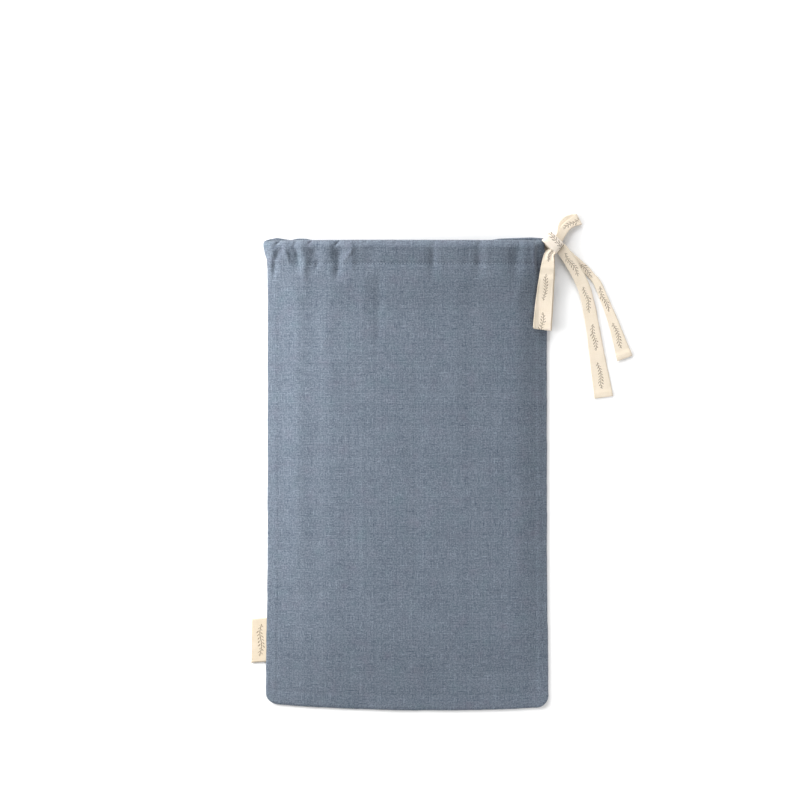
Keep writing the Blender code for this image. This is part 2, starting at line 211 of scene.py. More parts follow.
class Nodes:
    """The node tree of one material."""

    def __init__(self, name: str) -> None:
        """Starts a material with its Principled shader and output."""
        self.material = bpy.data.materials.new(name)
        self.material.use_nodes = True
        self.tree = self.material.node_tree
        self.shader = self.tree.nodes["Principled BSDF"]

    def add(self, kind: str, settings: dict[str, Any] | None = None, **inputs: Any) -> bpy.types.Node:
        """Adds a node.

        Args:
            kind: The node's type.
            settings: Its properties, which are set first.
            **inputs: A value or link for each socket, by its name with _ for a space, or by _
                and its number.

        Returns:
            The node.
        """
        node = self.tree.nodes.new(kind)
        for name, value in (settings or {}).items():
            setattr(node, name, value)
        for name, value in inputs.items():
            number = name[1:]
            socket = node.inputs[int(number)] if number.isdigit() else node.inputs[name.replace("_", " ")]
            self.feed(socket, value)
        return node

    def feed(self, socket: bpy.types.NodeSocket, value: Any) -> None:
        """Gives a socket a link or a value."""
        if isinstance(value, Value):
            value = value.socket
        if isinstance(value, bpy.types.NodeSocket):
            self.tree.links.new(value, socket)
        else:
            socket.default_value = value

    def noise(self, place: Any, scale: float, detail: float = 2.0, roughness: float = 0.5) -> "Value":
        """Adds a noise over a place.

        Args:
            place: The link that gives the place.
            scale: How many cells to a metre.
            detail: Octaves.
            roughness: The weight of the finer octaves.

        Returns:
            A number from 0 to 1, mostly near a half.
        """
        inputs = {"Vector": place, "Scale": scale, "Detail": detail, "Roughness": roughness}
        return Value(self, self.add("ShaderNodeTexNoise", None, **inputs).outputs[0])

    def place(self, x: Any, y: Any, z: Any = 0.0) -> bpy.types.NodeSocket:
        """Joins three numbers to a place."""
        return self.add("ShaderNodeCombineXYZ", None, X=x, Y=y, Z=z).outputs[0]

    def chance(self, x: Any, y: Any) -> "Value":
        """A chance number from 0 to 1 that is the same all over a cell."""
        node = self.add("ShaderNodeTexWhiteNoise", {"noise_dimensions": "2D"}, Vector=self.place(x, y))
        return Value(self, node.outputs["Value"])

    def mix(self, share: Any, first: Any, second: Any) -> bpy.types.NodeSocket:
        """Mixes two colours.

        Args:
            share: 0 gives the first and 1 the second.
            first: A colour or link.
            second: A colour or link.

        Returns:
            The mixed colour's socket.
        """
        first, second = ((*c, 1.0) if isinstance(c, tuple) else c for c in (first, second))
        node = self.add("ShaderNodeMix", {"data_type": "RGBA"}, _0=share, _6=first, _7=second)
        return node.outputs[2]

    def parts(self, place: bpy.types.NodeSocket) -> tuple["Value", "Value"]:
        """The first two numbers of a place."""
        node = self.add("ShaderNodeSeparateXYZ", None, Vector=place)
        return Value(self, node.outputs[0]), Value(self, node.outputs[1])

    def weave_place(self) -> tuple["Value", "Value"]:
        """The place across and along the cloth, in metres, from the piece's own map."""
        return self.parts(self.add("ShaderNodeUVMap", {"uv_map": WEAVE_MAP}).outputs[0])

    def threads(self, warp: "Value", weft: "Value") -> tuple["Value", "Value"]:
        """The threads of a plain weave.

        Args:
            warp: The place across, counted in warp threads.
            weft: The place along, counted in weft threads.

        Returns:
            1 where the warp is on top, and the rounded height of the thread that is.
        """
        on_top = (warp.whole() + weft.whole()).even()
        return on_top, abs(warp.wave(2.0)) * on_top + abs(weft.wave(2.0)) * (1 - on_top)

    def finished(self, colour: Any, roughness: Any, **constants: float) -> bpy.types.Material:
        """Feeds the shader.

        Args:
            colour: The link for its colour.
            roughness: The link for its roughness.
            **constants: A value for each other socket, by its name with _ for a space.

        Returns:
            The material.
        """
        self.feed(self.shader.inputs["Base Color"], colour)
        self.feed(self.shader.inputs["Roughness"], roughness)
        for name, value in constants.items():
            self.shader.inputs[name.replace("_", " ")].default_value = value
        return self.material

    def raise_surface(self, height: "Value", strength: float, depth: float) -> None:
        """Bends the shading by a height from 0 to 1, whose full depth is given."""
        node = self.add("ShaderNodeBump", None, Strength=strength, Distance=depth, Height=height)
        self.feed(self.shader.inputs["Normal"], node.outputs[0])


def operation(name: str, about: str, reflected: bool = False) -> Callable[..., "Value"]:
    """Makes a method that adds one kind of Math node.

    Args:
        name: The Math node's operation.
        about: The method's docstring.
        reflected: Whether the value comes last.

    Returns:
        The method.
    """

    def work(self: "Value", *others: Any) -> "Value":
        """Adds the node on this value and others."""
        terms = (*others, self) if reflected else (self, *others)
        return Value.worked(self.nodes, name, terms)

    work.__doc__ = about
    return work


class Value:
    """A number that varies over a surface. An expression on it adds its Math nodes."""

    def __init__(self, nodes: Nodes, socket: bpy.types.NodeSocket) -> None:
        """Wraps a socket."""
        self.nodes = nodes
        self.socket = socket

    def math(self, operation: str, *others: Any) -> "Value":
        """Adds a Math node on this value and others, and gives its result."""
        return Value.worked(self.nodes, operation, (self, *others))

    @staticmethod
    def worked(nodes: Nodes, operation: str, terms: Sequence[Any]) -> "Value":
        """Adds a Math node on terms in a given order.

        Args:
            nodes: The tree.
            operation: The Math node's operation.
            terms: Its inputs, numbers or values.

        Returns:
            The node's result.
        """
        inputs = {f"_{i}": term for i, term in enumerate(terms)}
        node = nodes.add("ShaderNodeMath", {"operation": operation}, **inputs)
        return Value(nodes, node.outputs[0])

    __add__ = __radd__ = operation("ADD", "Adds.")
    __sub__ = operation("SUBTRACT", "Subtracts.")
    __rsub__ = operation("SUBTRACT", "Subtracts from a number.", reflected=True)
    __mul__ = __rmul__ = operation("MULTIPLY", "Multiplies.")
    __truediv__ = operation("DIVIDE", "Divides.")
    __lt__ = operation("LESS_THAN", "1 where it is less.")
    __gt__ = operation("GREATER_THAN", "1 where it is greater.")
    __abs__ = operation("ABSOLUTE", "Its size without its sign.")
    most = operation("MAXIMUM", "The greater of two.")
    whole = operation("FLOOR", "The whole number below.")
    rest = operation("FRACT", "What is left above the whole number.")

    def wave(self, period: float) -> "Value":
        """A sine of this period."""
        return (self * (2 * pi / period)).math("SINE")

    def even(self) -> "Value":
        """1 where its whole part is odd and 0 where it is even."""
        return self.whole().math("FLOORED_MODULO", 2.0)

    def between(self, low: float, high: float) -> "Value":
        """Eases from 0 at low to 1 at high, or the other way round where low is the higher."""
        inputs = {"Value": self, "From_Min": low, "From_Max": high}
        node = self.nodes.add("ShaderNodeMapRange", {"interpolation_type": "SMOOTHSTEP"}, **inputs)
        return Value(self.nodes, node.outputs[0])


# ---------------------------------------------------------------------------------------------
# Finishes


DULL = {"Specular_IOR_Level": 0.2}  # cloth hardly shines


@dataclass(frozen=True)
class Linen:
    """Washed plain-weave linen with slubs, from its threads up to its mottling."""

    light: Colour = (0.217, 0.256, 0.307)
    dark: Colour = (0.048, 0.067, 0.099)
    purple: Colour = (0.180, 0.155, 0.212)
    green: Colour = (0.100, 0.176, 0.196)
    thread: float = 0.00062  # from one thread to the next
    thread_depth: float = 0.00022
    slub_width: float = 0.0011
    slub_length: float = 0.011
    sway: tuple[float, float] = (0.0009, 0.0008)  # how far the threads wander, across and along
    grain: float = 0.0016
    stitch_line: float | None = None  # where painted shade darkens the stitching's needle holes, along the cloth
    stitch_pitch: float = 0.0031

    def material(self, name: str) -> bpy.types.Material:
        """Makes the finish.

        Args:
            name: The material's name.

        Returns:
            The material.
        """
        nodes = Nodes(name)
        u, v = nodes.weave_place()
        place = nodes.place(u, v)
        sway = nodes.noise(place, 90.0, 1.0) - 0.5
        across, along = u + sway * self.sway[0], v + sway * self.sway[1]
        warp, weft = across / self.thread, along / self.thread
        warp_tone = self.thread_tone(nodes, warp.whole(), v, 3.1)
        weft_tone = self.thread_tone(nodes, weft.whole(), u, 17.7)
        on_top, height = nodes.threads(warp, weft)
        woven = warp_tone * on_top + weft_tone * (1 - on_top)

        slubs = self.streaks(nodes, u, v, 1.0).most(self.streaks(nodes, v, u, 5.0))
        thin = self.streaks(nodes, u, v, 41.0).most(self.streaks(nodes, v, u, 53.0))
        grain = nodes.noise(place, 1 / self.grain, 2.0, 0.75) - 0.5
        cloud = nodes.noise(place, 24.0, 3.0, 0.6) - 0.5
        tone = 0.47 + (woven - 0.5) * 0.45 + slubs * 0.30 - thin * 0.26 + grain * 1.55 + cloud * 0.22
        if self.stitch_line is not None:
            # painted shade: the needle holes of the stitching are darkened in the colour, for the shade
            # in their dimples
            tone = tone - self.hole_shade(u, v) * 0.35
        body = nodes.mix(tone.between(-0.10, 1.10), self.dark, self.light)
        hue = nodes.noise(nodes.place(u, v, 2.0), 55.0, 2.0) - 0.5
        tinted = nodes.mix((hue * 1.1).between(0.0, 0.6) * 0.42, body, self.purple)
        tinted = nodes.mix((hue * -1.1).between(0.0, 0.6) * 0.38, tinted, self.green)
        height = height * 0.5 + slubs * 0.35 + grain * 0.55 + woven * 0.15
        nodes.raise_surface(height, 0.75, self.thread_depth)
        return nodes.finished(tinted, 0.90 + grain * 0.12, Sheen_Weight=0.12, Sheen_Roughness=0.6, **DULL)

    def thread_tone(self, nodes: Nodes, thread: Value, along: Value, seed: float) -> Value:
        """How light a thread is: its own tone, and thick and thin places along it.

        Args:
            nodes: The tree.
            thread: The thread's number.
            along: The place along it.
            seed: Which set of threads.

        Returns:
            A tone from 0 to 1.
        """
        own = nodes.chance(thread, seed)
        drift = nodes.noise(nodes.place(thread * 7.31, along / self.slub_length, seed), 1.0, 2.0)
        return own * 0.45 + drift * 0.55

    def streaks(self, nodes: Nodes, across: Value, along: Value, seed: float) -> Value:
        """Slubs: 1 on the thick places of a few threads, drawn out along them, and 0 elsewhere."""
        place = nodes.place(across / self.slub_width, along / self.slub_length, seed)
        return nodes.noise(place, 1.0, 1.0).between(0.60, 0.74)

    def hole_shade(self, u: Value, v: Value) -> Value:
        """The needle holes along the stitching.

        Args:
            u: The place across the cloth.
            v: The place along it.

        Returns:
            1 in a hole.
        """
        step = abs((u / self.stitch_pitch).rest() - 0.5) * self.stitch_pitch
        off = abs(v - self.stitch_line)
        far = (step * step + off * off).math("SQRT")
        return far.between(0.0008, 0.0002)


@dataclass(frozen=True)
class CottonTape:
    """Cream cotton tape with firm edges and a printed sprig that repeats along it."""

    width: float = 0.018
    light: Colour = (0.822, 0.730, 0.612)
    dark: Colour = (0.700, 0.600, 0.440)
    warm: Colour = (0.860, 0.725, 0.635)
    print_colour: Colour = (0.070, 0.038, 0.014)
    thread: float = 0.00042  # from one thread to the next
    thread_depth: float = 0.00014
    repeat: float = 0.041  # from one sprig to the next
    sprig: float = 0.0285
    leaf_pitch: float = 0.0031
    leaf_length: float = 0.0016
    leaf_width: float = 0.00042
    leaf_out: float = 0.0018
    leaf_lean: float = 38  # degrees
    stem: float = 0.00030
    off_centre: float = 0.0  # how far the print lies from the middle of the tape
    along_shift: float = 0.0

    def material(self, name: str) -> bpy.types.Material:
        """Makes the finish.

        Args:
            name: The material's name.

        Returns:
            The material.
        """
        nodes = Nodes(name)
        u, v = nodes.weave_place()
        place = nodes.place(u, v)
        warp, weft = u / self.thread, v / self.thread
        on_top, height = nodes.threads(warp, weft)
        own = nodes.chance(warp.whole(), 2.0) * on_top + nodes.chance(weft.whole(), 9.0) * (1 - on_top)
        cloud = nodes.noise(place, 70.0, 3.0, 0.6) - 0.5
        fine = nodes.noise(place, 900.0, 2.0, 0.6) - 0.5
        edge = abs(u).between(self.width * 0.44, self.width * 0.475)
        tone = 0.66 + (own - 0.5) * 0.26 + cloud * 0.5 + fine * 0.35 - edge * 0.16
        body = nodes.mix(tone.between(0.0, 1.0), self.dark, self.light)
        warmth = nodes.noise(nodes.place(u, v, 4.0), 30.0, 2.0)
        body = nodes.mix(warmth.between(0.5, 0.75) * 0.5, body, self.warm)
        ink = self.sprigs(nodes, u - self.off_centre, v + self.along_shift)
        worn = nodes.noise(place, 1400.0, 2.0).between(0.28, 0.52)
        inked = nodes.mix(ink * worn * 0.86, body, self.print_colour)
        nodes.raise_surface(height * 0.8 + fine * 0.4 + edge * 0.6, 0.6, self.thread_depth)
        return nodes.finished(inked, 0.86 + fine * 0.15, Sheen_Weight=0.08, **DULL)

    def sprigs(self, nodes: Nodes, u: Value, v: Value) -> Value:
        """The print: a wavy stem with slanted grains on both sides, then a gap.

        Args:
            nodes: The tree.
            u: The place across the tape, from the print's middle.
            v: The place along it.

        Returns:
            1 in the print's ink.
        """
        turn = v / self.repeat
        place = (turn.rest() - 0.5) * self.repeat
        number = nodes.chance(turn.whole(), 5.0)
        end = abs(place)
        off = u - (place + number * self.repeat).wave(self.sprig * 0.8) * 0.0009
        stem = abs(off).between(self.stem * 1.7, self.stem * 0.7) * (end < self.sprig / 2)
        side = off > 0.0
        step = place / self.leaf_pitch + side * 0.5 + number
        along = (step.rest() - 0.5) * self.leaf_pitch
        size = nodes.chance(step.whole(), side * 3.0 + turn.whole()) * 0.5 + 0.72
        slim = 1 - (end / self.sprig) * (end / self.sprig) * 1.6
        outward = abs(off) - size * slim * self.leaf_out
        lean = radians(self.leaf_lean)
        major = (along * cos(lean) + outward * sin(lean)) / (size * slim * self.leaf_length)
        minor = (outward * cos(lean) - along * sin(lean)) / (size * slim * self.leaf_width)
        leaf = (major * major + minor * minor).between(1.35, 0.65) * (end < self.sprig / 2 - 0.001)
        return stem.most(leaf)


@dataclass(frozen=True)
class Thread:
    """Sewing thread."""

    light: Colour
    dark: Colour
    twist: float = 0.0005
    twist_depth: float = 0.0001

    def material(self, name: str) -> bpy.types.Material:
        """Makes the finish.

        Args:
            name: The material's name.

        Returns:
            The material.
        """
        nodes = Nodes(name)
        place = nodes.add("ShaderNodeTexCoord").outputs["Object"]
        x, y = nodes.parts(place)
        strand = (x + y).wave(self.twist) * 0.5 + 0.5
        uneven = nodes.noise(place, 400.0)
        tone = strand * 0.4 + uneven * 0.6
        nodes.raise_surface(strand, 0.5, self.twist_depth)
        return nodes.finished(nodes.mix(tone, self.dark, self.light), 0.65 + uneven * 0.2)


# ---------------------------------------------------------------------------------------------
# Making pieces


Place = Callable[[Array, Array], tuple[Array, Array]]


@dataclass
class Sheet:
    """A piece of cloth made from a grid, whose points a function puts where they belong."""

    name: str
    columns: int
    rows: int
    thickness: float
    closed: bool = False  # whether the last column meets the first

    def build(self, place: Place) -> bpy.types.Object:
        """Makes the piece.

        Args:
            place: Gives the points and the weave's map for grid places from 0 to 1, across
                and along.

        Returns:
            The piece, at the origin.
        """
        bm = bmesh.new()
        bmesh.ops.create_grid(bm, x_segments=self.columns, y_segments=self.rows, size=0.5)
        mesh = poured(bm, bpy.data.meshes.new(self.name))
        flat = np.zeros(len(mesh.vertices) * 3)
        mesh.vertices.foreach_get("co", flat)
        flat = flat.reshape(-1, 3)
        across = np.round((flat[:, 0] + 0.5) * self.columns) / self.columns
        along = np.round((flat[:, 1] + 0.5) * self.rows) / self.rows
        points, weave = place(across, along)
        mesh.vertices.foreach_set("co", points.astype(np.float32).ravel())
        corners = np.zeros(len(mesh.loops), int)
        mesh.loops.foreach_get("vertex_index", corners)
        uv_map = mesh.uv_layers.new(name=WEAVE_MAP)
        uv_map.data.foreach_set("uv", weave[corners].astype(np.float32).ravel())
        mesh.update()
        if self.closed:
            bm = bmesh.new()
            bm.from_mesh(mesh)
            bmesh.ops.remove_doubles(bm, verts=bm.verts, dist=1e-6)
            poured(bm, mesh)
        made = new_object(self.name, mesh)
        shell = made.modifiers.new("Thickness", "SOLIDIFY")
        shell.thickness = self.thickness
        shell.offset = 0.0
        return made


def poured(bm: bmesh.types.BMesh, mesh: bpy.types.Mesh) -> bpy.types.Mesh:
    """Writes a bmesh into a mesh and frees it."""
    bm.to_mesh(mesh)
    bm.free()
    return mesh


def new_object(name: str, mesh: bpy.types.Mesh) -> bpy.types.Object:
    """Puts a mesh in the scene, smoothly shaded."""
    mesh.shade_smooth()
    made = bpy.data.objects.new(name, mesh)
    bpy.context.scene.collection.objects.link(made)
    return made


def dress(piece: bpy.types.Object, look: bpy.types.Material, slot: Slot, *nodes: str) -> bpy.types.Object:
    """Gives a piece its finish and its place in the frame.

    Args:
        piece: The piece.
        look: Its material.
        slot: The record's slot that it takes its finish from.
        *nodes: The frame's nodes that it stands for.

    Returns:
        The piece.
    """
    piece.data.materials.clear()
    piece.data.materials.append(look)
    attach(piece, BODY)
    if nodes:
        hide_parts(*nodes)
    LOG.info("%s: %d faces", piece.name, len(piece.data.polygons))
    return piece


def stitches(
    name: str, places: Sequence[Vector], directions: Sequence[Vector], size: Vector
) -> bpy.types.Object:
    """A row of stitches, each a small rounded grain of thread.

    Args:
        name: The piece's name.
        places: The middle of each stitch.
        directions: The way each one runs.
        size: Half its length, width and height.

    Returns:
        The piece.
    """
    bm = bmesh.new()
    for place, direction in zip(places, directions):
        turn = direction.to_track_quat("X", "Z").to_matrix().to_4x4()
        matrix = Matrix.Translation(place) @ turn @ Matrix.Diagonal((*size, 1.0))
        bmesh.ops.create_icosphere(bm, subdivisions=1, radius=1.0, matrix=matrix)
    return new_object(name, poured(bm, bpy.data.meshes.new(name)))


# ---------------------------------------------------------------------------------------------
# The bag


FULLNESS = table(
    Row,
    (-0.250, 0.0080),
    (-0.110, 0.0105),
    (0.040, 0.0130),
    (0.170, 0.0150),
    (0.227, 0.0135),
    (0.250, 0.0135),
)
LOWER_SIDES = table(
    Side,
    (-0.250, -0.1507, 0.1496),
    (-0.200, -0.1504, 0.1496),
    (-0.150, -0.1496, 0.1488),
    (-0.100, -0.1488, 0.1482),
)
FRONT_SIDES = LOWER_SIDES + table(
    Side,
    (0.207, -0.1486, 0.1480),
    (0.219, -0.1487, 0.1477),
    (0.230, -0.1495, 0.1470),
    (0.236, -0.1516, 0.1463),
    (0.243, -0.1532, 0.1454),
    (0.247, -0.1530, 0.1448),
    (0.251, -0.1512, 0.1440),
)
BACK_SIDES = LOWER_SIDES + table(
    Side,
    (0.219, -0.1487, 0.1478),
    (0.230, -0.1495, 0.1472),
    (0.236, -0.1516, 0.1466),
    (0.243, -0.1532, 0.1460),
    (0.247, -0.1530, 0.1456),
    (0.253, -0.1512, 0.1450),
)
BACK_TOP = table(
    Row,
    (-0.152, 0.2500),
    (-0.146, 0.2512),
    (-0.139, 0.2526),
    (-0.132, 0.2514),
    (-0.124, 0.2500),
    (-0.117, 0.2520),
    (-0.108, 0.2518),
    (-0.100, 0.2496),
    (-0.070, 0.2490),
    (0.080, 0.2490),
    (0.098, 0.2518),
    (0.130, 0.2530),
    (0.148, 0.2520),
)
# The gathers of the casing and the soft folds that run down from them.
GATHERS = table(
    Fold,
    (-0.1280, 0.0012, 0.0030, 0.2500, 0.2240),
    (-0.1185, -0.0014, 0.0032, 0.2430, 0.2200),
    (-0.1105, 0.0017, 0.0042, 0.2700, 0.2050),
    (-0.0985, -0.0017, 0.0065, 0.2425, 0.2230),
    (-0.0745, -0.0022, 0.0050, 0.2425, 0.2120),
    (-0.0600, 0.0012, 0.0032, 0.2500, 0.2200),
    (-0.0380, -0.0012, 0.0110, 0.2430, 0.2250),
    (0.0270, -0.0014, 0.0050, 0.2500, 0.2120),
    (0.0750, -0.0014, 0.0050, 0.2500, 0.2120),
    (0.1140, -0.0024, 0.0080, 0.2600, 0.2040),
)
DRAPES = table(
    Fold,
    (-0.1190, 0.0012, 0.0100, 0.205, -0.120),
    (-0.0860, 0.0010, 0.0130, 0.200, 0.080),
    (-0.0310, -0.0010, 0.0050, 0.215, 0.140),
    (-0.0470, 0.0006, 0.0060, 0.215, 0.160),
    (0.0520, 0.0006, 0.0120, 0.205, 0.020),
    (0.0100, -0.0006, 0.0100, 0.120, -0.140),
    (-0.0620, -0.0005, 0.0110, 0.060, -0.210),
)
CREASES = table(
    Crease,
    (-0.1376, 0.2465, 0.0012, 0.0050, -45, -0.0031),
    (-0.1190, 0.2455, 0.0011, 0.0030, -25, -0.0020),
    (-0.1029, 0.2468, 0.0012, 0.0042, -43, -0.0025),
    (-0.0744, 0.2460, 0.0013, 0.0046, -45, -0.0028),
    (-0.0664, 0.2455, 0.0011, 0.0050, 0, 0.0018),
    (-0.0440, 0.2476, 0.0011, 0.0030, -40, -0.0018),
    (-0.0120, 0.2472, 0.0012, 0.0032, -30, -0.0015),
    (0.0290, 0.2468, 0.0013, 0.0036, -20, -0.0016),
    (0.0760, 0.2468, 0.0013, 0.0036, -24, -0.0015),
    (0.1180, 0.2470, 0.0016, 0.0040, 20, -0.0018),
    (-0.1376, 0.2345, 0.0030, 0.0070, -30, -0.0029),
    (-0.1424, 0.2190, 0.0034, 0.0085, -8, -0.0038),
    (-0.1279, 0.2337, 0.0012, 0.0055, 24, 0.0020),
    (-0.1165, 0.2340, 0.0020, 0.0060, 16, -0.0020),
    (-0.1105, 0.2200, 0.0032, 0.0080, -4, 0.0015),
    (-0.0980, 0.2360, 0.0055, 0.0045, 0, -0.0020),
    (-0.0960, 0.2225, 0.0022, 0.0060, -20, -0.0015),
    (-0.0720, 0.2350, 0.0050, 0.0075, -4, -0.0036),
    (-0.0745, 0.2175, 0.0028, 0.0065, -6, -0.0016),
    (-0.0620, 0.2340, 0.0014, 0.0070, -36, 0.0018),
    (0.0270, 0.2290, 0.0020, 0.0070, 0, -0.0013),
    (0.0750, 0.2270, 0.0022, 0.0050, 6, -0.0011),
    (0.1140, 0.2300, 0.0050, 0.0100, 0, -0.0015),
    (0.1335, 0.2340, 0.0014, 0.0160, 3, 0.0017),
    (0.1374, 0.2270, 0.0020, 0.0120, 4, -0.0042),
)


@dataclass(frozen=True)
class BagShape:
    """The form of the two panels: where each layer of cloth lies."""

    layer: float = 0.0012  # room of one layer in the frame
    cloth: float = 0.00075  # the cloth that shows
    gap: float = 0.0003
    casing_room: float = 0.0010
    hem_room: float = 0.0010
    tape: float = 0.0010
    top: float = 0.2494
    bottom: float = -0.2497
    bow: float = 0.0063
    bow_centre: float = 0.028
    bow_half: float = 0.166
    bow_fade: float = 0.080
    corner: float = 0.012
    stitch_line: float = 0.2244
    hem_edge: float = 0.2206
    seam_start: float = 0.195
    casing_start: float = 0.2272
    left_rise: float = 0.104
    right_rise: float = 0.034
    right_slack: float = 0.30  # how much less full the bag is along its right seam
    string_line: float = 0.2424  # the ridge over the tape in the casing
    string_puff: float = 0.0043
    roll_drop: float = 0.0052
    inner_start: float = 0.028  # how much sooner the cloth starts to rise away from the seams
    folds_half: float = 0.1512  # half the width that the folds' places are given for
    end_tuck: float = 0.1358  # where the casing's end is tucked under its last gather
    bottom_rise: float = 0.095
    flat_edge: float = 0.003
    curl: float = 0.0060
    hem_inset: float = 0.0088
    turned_in: float = 0.0145
    slit_edge: float = 0.1446
    fade: float = 0.030
    seam_roll: float = 0.0022
    seam_step: float = 0.00045  # how far the cloth drops at a seam and rises over its allowance
    back_roll: float = 0.00030
    allowance: float = 0.0090  # width of the seam allowance inside
    stitch_pleats: float = 0.00034
    fold_pleats: float = 0.00022
    crumple_seed: int = 11
    crumple_count: int = 420
    crumple_height: float = 0.00013

    @property
    def back_flat(self) -> float:
        """Height of the middle of the back panel's cloth."""
        return self.layer / 2

    @property
    def front_flat(self) -> float:
        """Height of the middle of the front panel's cloth over its seams."""
        return self.back_flat + self.layer + self.gap

    @property
    def casing_depth(self) -> float:
        """From the outer to the inner layer of a casing."""
        return self.layer + self.tape + 2 * self.casing_room

    @property
    def hem_depth(self) -> float:
        """From the outer to the inner layer at the stitching."""
        return self.layer + self.hem_room

    @property
    def front_casing(self) -> float:
        """Height of the front casing's outer layer over the bag's flat edge."""
        return self.back_flat + 2 * (self.casing_depth + self.layer / 2) + self.gap

    def across(self, sides: Sequence[Side], part: Array, along: Array) -> Array:
        """The place across a panel.

        Args:
            sides: The panel's edges.
            part: From 0, its left seam, to 1, its right seam.
            along: The place along the bag.

        Returns:
            X for each point.
        """
        up = np.clip(along - self.bottom, 0.0, self.corner)
        inset = self.corner - np.sqrt(self.corner**2 - (self.corner - up) ** 2)
        left = column(sides, along, "left") + inset + ripple(along, 3, 0.075) * 0.00035
        right = column(sides, along, "right") - inset + ripple(along, 4, 0.064) * 0.00030
        return left + (right - left) * part

    def bowed(self, x: Array, along: Array) -> Array:
        """The place along the bag, with the bow and waver of its bottom seam.

        Args:
            x: The place across.
            along: The place along, as if the seam were straight.

        Returns:
            Y for each point.
        """
        bow = self.bow * ((x - self.bow_centre) / self.bow_half) ** 2
        bow = bow + ripple(x, 5, 0.09) * 0.0003
        return along + bow * (1 - eased(self.bottom, self.bottom + self.bow_fade, along))

    def fold_height(self, folds: Sequence[Fold], x: Array, along: Array) -> Array:
        """What folds add to the height.

        Args:
            folds: The folds.
            x: The place across.
            along: The place along.

        Returns:
            The height that they add.
        """
        total = np.zeros_like(x)
        for fold in folds:
            fade = min(self.fade, (fold.top - fold.bottom) * 0.35)
            reach = eased(fold.bottom - fade, fold.bottom + fade, along)
            reach *= 1 - eased(fold.top - fade / 2, fold.top + fade / 2, along)
            wander = ripple(along, int(fold.across * 1000) + 500, 0.11) * fold.width * 0.35
            total += fold.height * reach * bump(x - fold.across - wander, fold.width)
        return total

    def crease_height(self, x: Array, along: Array) -> Array:
        """What the short creases add to the height."""
        total = np.zeros_like(x)
        for crease in CREASES:
            total += crease.height * self.one_crease(crease, x, along)
        return total

    def one_crease(self, crease: Crease, x: Array, along: Array) -> Array:
        """The form of one crease, 1 at its middle.

        Args:
            crease: The crease.
            x: The place across.
            along: The place along.

        Returns:
            Its share at each place.
        """
        lean = radians(crease.lean)
        right, up = x - crease.x, along - crease.y
        side = right * cos(lean) + up * sin(lean)
        length = up * cos(lean) - right * sin(lean)
        return bump(side, crease.width) * bump(length, crease.length)

    def crumple(self, x: Array, along: Array) -> Array:
        """The faint washed crumple of the cloth: many small soft ridges.

        Args:
            x: The place across.
            along: The place along.

        Returns:
            The height that it adds.
        """
        rng = np.random.default_rng(self.crumple_seed)
        total = np.zeros_like(x)
        for _ in range(self.crumple_count):
            lean = rng.normal(0, 18) + rng.choice((0, 0, 90))
            crease = Crease(
                rng.uniform(-0.155, 0.155),
                rng.uniform(-0.255, 0.255),
                rng.uniform(0.0016, 0.0050),
                rng.uniform(0.006, 0.026),
                lean,
                rng.normal(0, self.crumple_height),
            )
            reach = 3 * crease.length
            near = (np.abs(x - crease.x) < reach) & (np.abs(along - crease.y) < reach)
            total[near] += crease.height * self.one_crease(crease, x[near], along[near])
        return total

    def pleats(self, x: Array, along: Array) -> Array:
        """The fine pleats that the drawn tape puts in the casing, deepest at its stitching."""
        line = ripple(x, 21, 0.021) + 0.7 * ripple(x, 22, 0.0095)
        at_stitching = bump(along - self.stitch_line, 0.0085)
        at_fold = bump(along - self.top, 0.0060)
        share = 0.55 + 0.45 * eased(0.02, -0.10, x)
        return line * share * (self.stitch_pleats * at_stitching + self.fold_pleats * at_fold)

    def casing_puff(self, along: Array) -> Array:
        """The casing's roundness between its stitching and its fold."""
        up = np.clip((along - self.stitch_line) / (self.string_line - self.stitch_line), 0.0, 1.0)
        roll = np.clip((along - self.string_line) / (self.top - self.string_line), 0.0, 1.0)
        drop = self.roll_drop * (roll * 0.7 + 0.6 * (1 - np.sqrt(1 - roll * roll * 0.98)))
        return self.string_puff * up**1.15 - 0.0009 * bump(along - self.stitch_line, 0.0028) - drop

    def tucked(self, x: Array, along: Array) -> Array:
        """How far the casing's right end is tucked under its last gather, from 0 to 1."""
        share = eased(0.2085, 0.2150, along) * (1 - eased(0.2400, 0.2470, along))
        return eased(self.end_tuck, self.end_tuck + 0.0018, x) * share

    def seam_band(self, from_edge: Array) -> Array:
        """The edge's roll over the seam and the soft step of the allowance inside.

        Args:
            from_edge: The distance in from the nearest seam.

        Returns:
            The height that it adds.
        """
        roll = -self.seam_step * np.clip(1 - from_edge / self.seam_roll, 0.0, 1.0) ** 2
        band = eased(0.0, 0.0025, from_edge) - eased(self.allowance, self.allowance + 0.003, from_edge)
        return roll + self.seam_step * band

    def curl_drop(self, from_left: Array, along: Array) -> Array:
        """How far the left end of a casing's outer layer curls to the other panel."""
        full = (self.front_casing - self.back_flat) / 2 - (self.front_flat - self.back_flat) / 2
        share = eased(self.seam_start, self.casing_start, along)
        return full * share * np.clip(1 - from_left / self.curl, 0.0, 1.0) ** 2

    def rising(self, distance: Array, reach: float) -> Array:
        """How much of the fullness there is this far in from a seam."""
        return np.sin(pi / 2 * np.clip((distance - self.flat_edge) / reach, 0.0, 1.0))

